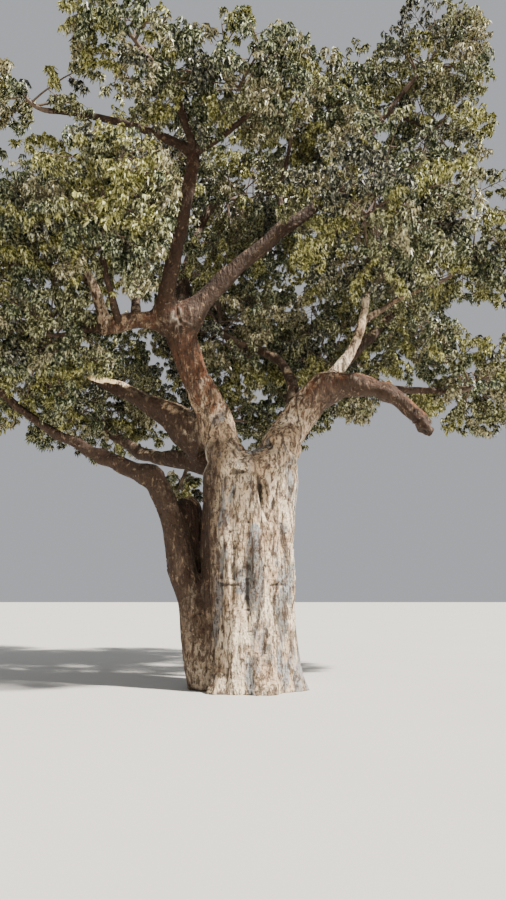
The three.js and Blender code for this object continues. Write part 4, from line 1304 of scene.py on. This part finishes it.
# %% What keeps clear of what
ROOM_MARGIN = 0.04  # how much better its own room's claim to a place is than the next one's
LEAF_TO_WOOD = 0.05  # metres, as are all the sizes that follow
TWIG_TO_WOOD = 0.045
BARE_MARGIN = 0.05
BARE_SPACING = 0.13
BARE_SHARES = {  # how much of each limb stays in sight, from its start
    "side_stem": 1, "left_limb": 1, "left_bough": 1, "upright": 0.97, "right_arm": 0.88, "left_arm": 1,
    "left_arm_up": 0.8, "broken_bough": 1, "right_bough": 1, "right_stub": 1, "right_stub_end": 1,
    "pale_limb": 0.75,
}
SUN_TILT, SUN_TURN = 42, 64  # degrees: tipped from straight down, then turned to the right of the front
TO_SUN = direction(SUN_TURN - 90, 90 - SUN_TILT)
BEAM_RADIUS = 0.3  # of the gap in the leaves through which the sun reaches the old break
BEAM_LENGTH = 9
BREAK_MIDDLE = broken_tip - 0.3 * broken_way  # of the broken face, a little way down the limb
MOST_POINTS = 8000  # worked on at a time


def in_own_room(points, owners):
    """Whether each point lies in the part of its room that no other room has a better claim to."""
    shares = np.linalg.norm((points[:, None] - room_middles) / room_sizes, axis=2)
    rows = np.arange(len(points))
    own = shares[rows, owners]
    shares[rows, owners] = np.inf
    return (own <= 1) & (own + ROOM_MARGIN < shares.min(axis=1))


def gap_to_lines(points, starts, runs):
    """The share along each line that is nearest to each point, and the distance to it."""
    length = (runs**2).sum(axis=1)
    along = points @ runs.T - (starts * runs).sum(axis=1)
    share = np.clip(along / length, 0, 1)
    apart = (points**2).sum(axis=1)[:, None] - 2 * points @ starts.T + (starts**2).sum(axis=1)
    return share, np.sqrt(np.maximum(apart - 2 * share * along + share**2 * length, 0))


line_starts = np.vstack([walk["points"][:-1] for walk in walks.values()])
line_runs = np.vstack([np.diff(walk["points"], axis=0) for walk in walks.values()])
line_shares = np.arange(LIMB_STEPS) / LIMB_STEPS
line_radii = np.concatenate([spread(walk["radii"], line_shares) for walk in walks.values()])

bare_heights = np.arange(0, SHOULDER_HEIGHT, BARE_SPACING)
bare_places = [np.stack([column_middle(bare_heights), 0 * bare_heights, bare_heights], axis=1)]
bare_radii = [eased_between(STATION_HEIGHTS, STATION_HALVES, bare_heights)]
for bare_name, bare_share in BARE_SHARES.items():
    walk = walks[bare_name]
    shares = np.linspace(0, bare_share, 1 + math.ceil(walk["length"] * bare_share / BARE_SPACING))
    bare_places.append(point_along(walk, shares))
    bare_radii.append(spread(walk["radii"], shares))
bare_places = np.vstack(bare_places)
bare_radii = np.concatenate(bare_radii)


def clear_of_wood(points, clearance):
    return (gap_to_lines(points, line_starts, line_runs)[1] > line_radii + clearance).all(axis=1)


def hides_nothing_bare(points):
    """Whether the bare boughs and column stay in sight behind each point, and the break in the sun."""
    runs = bare_places - FRONT_SPOT
    share, distance = gap_to_lines(points, np.broadcast_to(FRONT_SPOT, runs.shape), runs)
    in_view = ((share >= 1) | (distance > share * bare_radii + BARE_MARGIN)).all(axis=1)
    _, off_beam = gap_to_lines(points, BREAK_MIDDLE[None], BEAM_LENGTH * TO_SUN[None])
    return in_view & (off_beam[:, 0] > BEAM_RADIUS)


def in_parts(rule, points, *others):
    """The rule for each point, worked out a few thousand points at a time."""
    cuts = range(MOST_POINTS, len(points), MOST_POINTS)
    parts = zip(*(np.split(values, list(cuts)) for values in (points, *others)))
    return np.concatenate([rule(*part) for part in parts])


print(len(line_radii), "stretches of wood,", len(bare_radii), "bare spots")

# %% [markdown]
# Twigs leave the stem on the side that they aim for and arch out to their places, evenly spread round
# the room by the golden angle. The solids carry three to five of them in each mass. Here the same ones
# grow, and finer ones fill in between and behind them. A twig that would leave its room or touch wood
# is grown shorter. Along each twig sit sprays that turn to one side and the other.

# %% Growth of twigs
GOLDEN_ANGLE = math.pi * (3 - math.sqrt(5))
STEM_FIRST_FORK = 0.4
TWIG_WANDER = 0.5  # radians
TWIG_SIZES = (0.9, 0.2)  # least and more, in half sizes of the room
TWIG_ARCH = 0.14
TEST_SHARES = np.array([0.35, 0.55, 0.75, 1])
MAIN = SimpleNamespace(first_seed=0, turn=0.0, reaches=(0.66, 0.52, 0.4, 0.3),
                       shares=(0.42, 0.74, 1.0), size=1.0, radii=(0.026, 0.013))
FINE = SimpleNamespace(first_seed=500, turn=1.7, reaches=(0.84, 0.68, 0.52, 0.38),
                       shares=(0.3, 0.5, 0.68, 0.85, 1.0), size=0.62, radii=(0.018, 0.009))


def grow_twig(room, kind, index, count):
    """The path of a twig in its room, and the draws that its sprays go on with."""
    draw = draws_from(room.seed * 1000 + kind.first_seed + index)
    height = 1 - 2 * (index + 0.5) / count
    around = index * GOLDEN_ANGLE + room.seed + kind.turn + centred(TWIG_WANDER, draw())
    flat = math.sqrt(1 - height**2)
    aim = np.array([flat * math.cos(around), flat * math.sin(around), height])
    fork = blend(STEM_FIRST_FORK, 1, 0.5 + 0.5 * aim @ unit(room.middle - room.stem[0]))
    start = curve(room.stem, fork)
    offset = aim * room.size * drawn(*TWIG_SIZES, draw())
    for reach in kind.reaches:
        end = room.middle + offset * reach
        bend = (start + end) / 2 + UP * TWIG_ARCH * np.linalg.norm(end - start)
        places = curve((start, bend, end), TEST_SHARES)
        owners = np.full(len(places), room.seed - 1)
        allowed = in_own_room(places, owners) & clear_of_wood(places, TWIG_TO_WOOD)
        if allowed.all() and (kind is MAIN or hides_nothing_bare(places).all()):
            return (start, bend, end), draw
    return None, draw


# %% Growth of sprays
SPRAY_LENGTH = 1.48  # of the longest spray on a main twig, in metres
SPRAY_OF_ROOM = 0.9  # and in the room's least half size
SPRAY_LENGTHS = (0.84, 0.32)  # least and more, of the longest
SPRAY_SPREAD = 58  # degrees, as are the next three
SPRAY_WANDER = 40
SPRAY_ROLL = 150
SPRAY_DROOP = 16
SPRAY_DROOPS = (0.4, 1.2)  # least and more, of the droop


def turned(vector, axis, degrees):
    angle = math.radians(degrees)
    return (vector * math.cos(angle) + np.cross(axis, vector) * math.sin(angle)
            + axis * (axis @ vector) * (1 - math.cos(angle)))


def grow_sprays(room, kind, index, path, draw):
    """Share of the twig, start, way out, way across and length of each spray on a twig."""
    longest = kind.size * min(SPRAY_LENGTH, SPRAY_OF_ROOM * room.size.min())
    for place, share in enumerate(kind.shares):
        side = 1 if (index + place) % 2 else -1
        twig_way = curve_way(path, share)
        upward = unit(np.cross(unit(np.cross(twig_way, UP)), twig_way))
        turn = (0 if share == 1 else side * SPRAY_SPREAD) + centred(SPRAY_WANDER, draw())
        roll = centred(SPRAY_ROLL, draw())
        length = longest * drawn(*SPRAY_LENGTHS, draw())
        way = turned(twig_way, upward, turn)
        way[2] -= math.sin(math.radians(SPRAY_DROOP)) * drawn(*SPRAY_DROOPS, draw())
        way = unit(way)
        across = turned(unit(np.cross(way, upward)), way, roll)
        yield share, curve(path, share), way, across, length


twigs, sprays = [], []
for room in rooms:
    for kind, count in ((MAIN, room.main), (FINE, room.fine)):
        for index in range(count):
            path, draw = grow_twig(room, kind, index, count)
            if path is None:
                continue
            for share, root, way, across, length in grow_sprays(room, kind, index, path, draw):
                sprays.append((room.seed - 1, len(twigs), share, length, root, way, across))
            twigs.append(SimpleNamespace(path=path, radii=kind.radii))
spray_room, spray_twig, spray_share, spray_length, spray_root, spray_way, spray_across = (
    np.array(values) for values in zip(*sprays))
print(len(twigs), "twigs and", len(sprays), "sprays")

# %% [markdown]
# A spray is a drooping spine with shoots to both sides, longest before its middle, so that it has the
# outline of a broad blade. Baobab leaves crowd at the ends of shoots, so each shoot carries three
# towards its tip. A leaf that has no free place is left out, and the wood behind it is cut back.

# %% Sizes of shoots
SHOOT_SPACING = 0.064  # metres along the spine
FIRST_SHOOT = 0.1  # share of the spine that stays bare
SHOOT_PLACES = (0.3, 0.5)  # least and more, of a shoot in its own stretch of the spine
SPRAY_WIDTH = 0.86  # in lengths of the spray
SPRAY_WIDEST = 0.45
SPINE_SAG = 0.09
SHOOT_LENGTHS = (0.75, 0.45)  # least and more, of the usual length there
SHOOT_OF_WIDTH = 1.25
SHORTEST_SHOOT = 0.11
SHOOT_LIFT = 1.3  # how far shoots stand out of the plane of the spray, from side to side
SHOOT_FORWARD = 0.72
SHOOT_DROOP = 0.1
LEAF_PLACES = np.array([0.5, 0.78, 1.0])
SPINE_TESTS = np.linspace(0.15, 1, 6)  # shares of a spine at which it must leave the bare boughs in sight
SPINE_CUT = 0.15  # how far before the first share that fails the spine ends


def chance(*keys, salt):
    """An even draw between 0 and 1 that is fixed by whole numbers."""
    cells = np.stack(np.broadcast_arrays(*keys, *[0] * (3 - len(keys))), axis=-1)
    return 0.5 + 0.5 * cell_value(cells, salt)


shoot_count = np.round(spray_length / SHOOT_SPACING).astype(int)[:, None]
spray_rows = np.arange(len(sprays))[:, None]
shoot_rows = np.arange(shoot_count.max())[None, :]
shoot_place = shoot_rows + drawn(*SHOOT_PLACES, chance(spray_rows, shoot_rows, salt=1))
shoot_share = np.minimum(FIRST_SHOOT + (1 - FIRST_SHOOT) * shoot_place / shoot_count, 1)
shoot_side = np.where((spray_rows + shoot_rows) % 2, 1.0, -1.0)
width = np.where(shoot_share < SPRAY_WIDEST, shoot_share / SPRAY_WIDEST,
                 (1 - shoot_share) / (1 - SPRAY_WIDEST))
half_width = spray_length[:, None] * SPRAY_WIDTH / 2 * width
shoot_size = drawn(*SHOOT_LENGTHS, chance(spray_rows, shoot_rows, salt=2))
shoot_length = np.maximum(SHOOT_OF_WIDTH * half_width * shoot_size, SHORTEST_SHOOT)
print("up to", int(shoot_count.max()), "shoots on a spray")


# %% Shoots
def spine_point(rows, share):
    """Points on the spines of the sprays in rows."""
    reach = (spray_length[rows] * share)[..., None]
    sag = (SPINE_SAG * spray_length[rows] * share**2)[..., None]
    return spray_root[rows] + spray_way[rows] * reach - UP * sag


shoot_foot = spine_point(spray_rows, shoot_share)
spray_face = np.cross(spray_way, spray_across)
lift = centred(SHOOT_LIFT, chance(spray_rows, shoot_rows, salt=3))
shoot_way = unit(SHOOT_FORWARD * spray_way[:, None] + shoot_side[..., None] * spray_across[:, None]
                 + lift[..., None] * spray_face[:, None] - SHOOT_DROOP * UP)
shoot_end = shoot_foot + shoot_way * shoot_length[..., None]

spine_tests = spine_point(spray_rows, SPINE_TESTS[None])
in_sight = in_parts(hides_nothing_bare, spine_tests.reshape(-1, 3)).reshape(spine_tests.shape[:2])
spine_end = np.where(in_sight.all(axis=1), 1.0, SPINE_TESTS[np.argmin(in_sight, axis=1)] - SPINE_CUT)

# %% Free places for leaves
hubs = shoot_foot[:, :, None] + (shoot_end - shoot_foot)[:, :, None] * LEAF_PLACES[:, None]
is_grown = (shoot_rows < shoot_count) & (shoot_share <= spine_end[:, None])
leaf_spray, leaf_shoot, leaf_place = np.nonzero(np.broadcast_to(is_grown[..., None], hubs.shape[:3]))
hubs = hubs[leaf_spray, leaf_shoot, leaf_place]
in_box = ((hubs > SOLID_BOX[0]) & (hubs < SOLID_BOX[1])).all(axis=1)
free = in_box & in_parts(in_own_room, hubs, spray_room[leaf_spray])
free[free] = in_parts(lambda places: clear_of_wood(places, LEAF_TO_WOOD), hubs[free])
free[free] = in_parts(hides_nothing_bare, hubs[free])
hubs, leaf_spray, leaf_shoot, leaf_place = (
    values[free] for values in (hubs, leaf_spray, leaf_shoot, leaf_place))
print(len(hubs), "leaves of", len(free), "have a free place")

# %% [markdown]
# ## Twigs
#
# The stems, twigs, spines and shoots are tapered tubes that end in a point. They could be curves with
# a bevel, but joined arrays make tens of thousands of them in a moment.

# %% Tapered tubes
def tapered(paths, radii, sides):
    """Points and triangles of many tubes along paths of equal count, each ending in a point."""
    tubes, places = paths.shape[:2]
    ways = unit(np.gradient(paths, axis=1))
    across = unit(np.cross(ways, SIDEWAYS))
    third = np.cross(ways, across)
    angle = np.linspace(0, 2 * math.pi, sides, endpoint=False)[:, None]
    round_it = np.cos(angle) * across[:, :-1, None] + np.sin(angle) * third[:, :-1, None]
    rings = paths[:, :-1, None] + round_it * radii[:, :-1, None, None]
    points = np.concatenate([rings.reshape(tubes, -1, 3), paths[:, -1:]], axis=1)
    side = np.arange(sides)
    after = (side + 1) % sides
    faces = []
    for ring in range(places - 2):
        low, high = ring * sides, (ring + 1) * sides
        faces.append(np.stack([low + side, low + after, high + after], axis=1))
        faces.append(np.stack([low + side, high + after, high + side], axis=1))
    last = (places - 2) * sides
    faces.append(np.stack([last + side, last + after, np.full(sides, last + sides)], axis=1))
    pattern = np.vstack(faces)
    starts = np.arange(tubes)[:, None, None] * points.shape[1]
    return points.reshape(-1, 3), (pattern + starts).reshape(-1, 3)


def even_radii(first, last, tubes, places):
    return np.broadcast_to(np.linspace(first, last, places), (tubes, places))


# %% Stems, twigs, spines and shoots
STEM_PLACES, STEM_SIDES = 9, 8
STEM_END_RADIUS = 0.024
STEM_SINK = 0.06  # how deep its foot lies in the limb that carries it
TWIG_PLACES, TWIG_SIDES = 6, 5
SPINE_PLACES, SPINE_SIDES, SPINE_RADII = 4, 3, (0.012, 0.006)
SHOOT_ENDS, SHOOT_SIDES, SHOOT_RADII = 2, 3, (0.007, 0.003)
DARK_TWIG = colour(62, 48, 40)
PALE_TWIG = colour(128, 108, 90)

shoot_last = np.zeros(shoot_share.shape)
np.maximum.at(shoot_last, (leaf_spray, leaf_shoot), LEAF_PLACES[leaf_place])
spine_last = np.where(shoot_last > 0, shoot_share, 0).max(axis=1)
twig_last = np.zeros(len(twigs))
np.maximum.at(twig_last, spray_twig, np.where(spine_last > 0, spray_share, 0))

stem_shares = np.linspace(0, 1, STEM_PLACES)
stem_paths = np.array([curve(room.stem, stem_shares) for room in rooms])
stem_paths[:, 0] -= STEM_SINK * unit(stem_paths[:, 1] - stem_paths[:, 0])
stem_radii = np.array([blend(room.radius, STEM_END_RADIUS, stem_shares) for room in rooms])
shells = [tapered(stem_paths, stem_radii, STEM_SIDES)]

grown = [(twig, last) for twig, last in zip(twigs, twig_last) if last > 0]
twig_paths = np.array([curve(twig.path, np.linspace(0, last, TWIG_PLACES)) for twig, last in grown])
twig_radii = np.array([blend(*twig.radii, np.linspace(0, 1, TWIG_PLACES)) for twig, _ in grown])
shells.append(tapered(twig_paths, twig_radii, TWIG_SIDES))

rows = np.nonzero(spine_last > 0)[0]
spine_shares = np.linspace(0, 1, SPINE_PLACES)[None] * spine_last[rows, None]
spine_paths = spine_point(rows[:, None], spine_shares)
shells.append(tapered(spine_paths, even_radii(*SPINE_RADII, len(rows), SPINE_PLACES), SPINE_SIDES))

shoots = shoot_last > 0
shoot_ends = shoot_foot + (shoot_end - shoot_foot) * shoot_last[..., None]
shoot_paths = np.stack([shoot_foot[shoots], shoot_ends[shoots]], axis=1)
shells.append(tapered(shoot_paths, even_radii(*SHOOT_RADII, len(shoot_paths), SHOOT_ENDS), SHOOT_SIDES))

twig_wood = Finish("twig_wood")
twig_fleck = twig_wood.noise(30, 3)
twig_wood.shader({
    "Base Color": twig_wood.colours(twig_fleck, DARK_TWIG, PALE_TWIG),
    "Roughness": 0.85,
    "Normal": twig_wood.bumps(twig_fleck, 0.4, 0.01),
})
twig_points, twig_faces = joined(shells)
twig_piece = mesh_piece("twigs", twig_points, twig_faces, twig_wood.material, True)
print("twigs", len(twig_faces), "triangles")

# %% [markdown]
# ## Leaves
#
# A baobab's leaf is a hand of five leaflets that hang from the end of their stalk, the middle one
# longest. A picture of a leaf on a card would be lighter, but it would need an image and look flat from
# the side. Here each leaflet is a few flat-shaded triangles, and the middle one is folded along its
# midrib, which is what makes it flash in the sun. The leaves have five plain tints, which are dealt out
# by spray, because the leaves of one shoot are of one age. The palest tint also stands in for sprays in
# the sun and the darkest for sprays in shade, as painted light and painted shade.

# %% Shape of a leaf
LEAFLET_LENGTH = 0.138
LEAFLET_HALF_WIDTH = 0.158  # in its length, as are the next four
LEAFLET_WAIST = 0.54
FOLD = 0.09
HANG = 0.75
OUTER_HANG = 0.1
OUTER_TURN = 50  # degrees from which a leaflet is an outer one, which hangs that much more
LEAFLETS = ((0, 1.05, True), (27, 0.98, False), (-27, 0.98, False), (56, 0.84, False), (-56, 0.84, False))


def leaflet_corners(hubs, way, across, face, reach, hang, folded):
    """The waist's left, the tip and the waist's right of a leaflet, and its sunken rib if it is folded."""
    waist = hubs + reach * LEAFLET_WAIST * way
    wide = reach * LEAFLET_HALF_WIDTH * across
    corners = [waist + wide, hubs + reach * (way - hang * face), waist - wide]
    return corners + [waist - reach * FOLD * face] if folded else corners


def leaves_mesh(hubs, forward, side, face, length):
    """Points and triangles of many leaves: a hub, a folded leaflet and four plain ones."""
    points, faces = [hubs[:, None]], []
    count = 1
    for turn, size, folded in LEAFLETS:
        angle = math.radians(turn)
        way = math.cos(angle) * forward + math.sin(angle) * side
        across = math.cos(angle) * side - math.sin(angle) * forward
        hang = HANG + OUTER_HANG * (abs(turn) > OUTER_TURN)
        corners = leaflet_corners(hubs, way, across, face, (length * size)[:, None], hang, folded)
        left, end, right, rib = range(count, count + 4)
        if folded:
            faces += [(0, rib, left), (0, right, rib), (rib, end, left), (right, end, rib)]
        else:
            faces += [(0, end, left), (0, right, end)]
        count += len(corners)
        points.append(np.stack(corners, axis=1))
    points = np.concatenate(points, axis=1)
    starts = np.arange(len(hubs))[:, None, None] * count
    return points.reshape(-1, 3), (np.array(faces) + starts).reshape(-1, 3)


# %% Where each leaf points
LEAF_TURNS = np.array([62.0, -58.0, 0.0])  # degrees from the shoot, for the three places on it
LEAF_WANDER = 50  # degrees, as are the next two
LEAF_DROPS = (30, 48)  # least and more, below level
LEAF_TILT = 50
LEAF_SIZES = (0.78, 0.44)  # least and more

shoot_turn = np.degrees(np.arctan2(*shoot_way[leaf_spray, leaf_shoot, :2].T[::-1]))
keys = (leaf_spray, leaf_shoot, leaf_place)
leaf_heading = shoot_turn + LEAF_TURNS[leaf_place] + centred(LEAF_WANDER, chance(*keys, salt=4))
leaf_forward = direction(leaf_heading, -drawn(*LEAF_DROPS, chance(*keys, salt=5)))
level_side = unit(np.cross(leaf_forward, UP))
tilt = np.radians(centred(LEAF_TILT, chance(*keys, salt=6)))[:, None]
leaf_side = np.cos(tilt) * level_side + np.sin(tilt) * np.cross(level_side, leaf_forward)
leaf_face = np.cross(leaf_side, leaf_forward)
leaf_length = LEAFLET_LENGTH * drawn(*LEAF_SIZES, chance(*keys, salt=7))
print("face of a leaf points up by", round(float(leaf_face[:, 2].mean()), 2), "on average")

# %% [markdown]
# A leaf's tint is what shows in even light, though the palest and darkest tints also paint sun and shade.
# Fine noise also paints cream glints on it, a painted reflection of the sun off its waxy skin, and dark
# specks beside them, painted shade that stands in for the shade between leaflets that are finer than these.

# %% Tints and pieces
# The palest tint also paints sunlit leaves and the darkest paints shaded ones, as painted light and shade.
TINTS = (
    ("leaves_dark", colour(46, 52, 38)),
    ("leaves_green", colour(74, 85, 54)),
    ("leaves_olive", colour(112, 114, 76)),
    ("leaves_yellow", colour(144, 143, 72)),
    ("leaves_pale", colour(158, 152, 116)),
)
TINT_EDGES = (0.2, 0.42, 0.62, 0.8)  # shades of a spray at which one tint gives way to the next
GLINT = colour(238, 234, 200)  # where the sun flashes on a leaf
LIT_MOST, LIT_FACTOR = 0.6, 4.0  # a tint is lit up to that value, by no more than that factor
# how dark a speck of painted shade is, in shares of the tint
SPECK_SHARE = 0.15
MOST_LEAVES = 16000  # in one piece, at 12 triangles each
SHADE_MIDDLE, SHADE_DRIFT, SHADE_WANDER = 0.5, 0.2, 0.75  # of a spray, before it takes a tint
SHADE_BUMPS = 0.9  # drifts of shade to the metre


def leaf_finish(name, tint):
    """A tint with painted glints and dark specks of painted shade, and a waxy sheen."""
    finish = Finish(name)
    fine = finish.noise(19, 2)
    bright = np.array(tint) * min(LIT_FACTOR, LIT_MOST / max(tint[:3]))
    lit = blend(bright, np.array(GLINT), 0.5)
    darker = [SPECK_SHARE * part for part in tint[:3]] + [1]
    leaf_colour = finish.colours(finish.rise(fine, 0.41, 0.47), (*lit[:3], 1), tint)
    return finish.shader({
        "Base Color": finish.colours(finish.rise(fine, 0.5, 0.6), leaf_colour, darker),
        "Roughness": finish.rise(fine, 0.2, 0.8) * 0.15 + 0.36,
        "Specular IOR Level": 0.8,
    })


spray_shade = (SHADE_MIDDLE + SHADE_DRIFT * unevenness(spray_root * SHADE_BUMPS, 31)
               + centred(SHADE_WANDER, chance(spray_rows[:, 0], salt=8)))
spray_tint = np.searchsorted(TINT_EDGES, spray_shade)
leaf_pieces = []
for tint, (tint_name, tint_colour) in enumerate(TINTS):
    material = leaf_finish(tint_name, tint_colour)
    chosen = np.nonzero(spray_tint[leaf_spray] == tint)[0]
    parts = math.ceil(len(chosen) / MOST_LEAVES)
    for part, rows in enumerate(np.array_split(chosen, parts)):
        shape = leaves_mesh(hubs[rows], leaf_forward[rows], leaf_side[rows], leaf_face[rows],
                            leaf_length[rows])
        leaf_pieces.append(mesh_piece(f"{tint_name}_{part + 1}", *shape, material))

MASS_NODES = [f"leaves_{name}" for name in MASSES]
for piece in (twig_piece, *leaf_pieces):
    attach(piece, "root")
    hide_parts(*MASS_NODES)
    print(piece.name, len(piece.data.polygons), "triangles")

# %% [markdown]
# ## Stage and light
#
# A pale floor and a pale, even sky stand in for a studio. One strong sun from the front and the right,
# a little wider than the real one, gives the bark its shape and the leaves their flashes.

# %% Floor and light
FLOOR_REACH = 120.0
FLOOR_SINK = 0.002  # the floor lies this far under the flat foot
SKY_COLOUR, SKY_STRENGTH = (0.91, 0.94, 1.0, 1), 0.48
SUN_COLOUR, SUN_STRENGTH = (1.0, 0.95, 0.88), 13
SUN_WIDTH = 2.5  # degrees

floor_corners = np.array([[-1, -1, 0], [1, -1, 0], [1, 1, 0], [-1, 1, 0]])
floor_points = floor_corners * FLOOR_REACH - [0, 0, FLOOR_SINK]
pale_floor = Finish("pale_floor")
floor_colour = pale_floor.colours(pale_floor.noise(0.4, 3), colour(205, 202, 196), colour(196, 193, 187))
pale_floor.shader({
    "Base Color": floor_colour,
    "Roughness": 0.9,
})
floor = mesh_piece("floor", floor_points, np.array([[0, 1, 2, 3]]), pale_floor.material)

sky = bpy.data.worlds.new("sky")
sky.use_nodes = True
background = sky.node_tree.nodes["Background"]
background.inputs["Color"].default_value = SKY_COLOUR
background.inputs["Strength"].default_value = SKY_STRENGTH
bpy.context.scene.world = sky

sun = bpy.data.lights.new("sun", "SUN")
sun.energy = SUN_STRENGTH
sun.angle = math.radians(SUN_WIDTH)
sun.color = SUN_COLOUR
sun_holder = bpy.data.objects.new("sun", sun)
sun_holder.rotation_euler = (math.radians(SUN_TILT), 0, math.radians(SUN_TURN))
bpy.context.scene.collection.objects.link(sun_holder)
print("stage is lit")
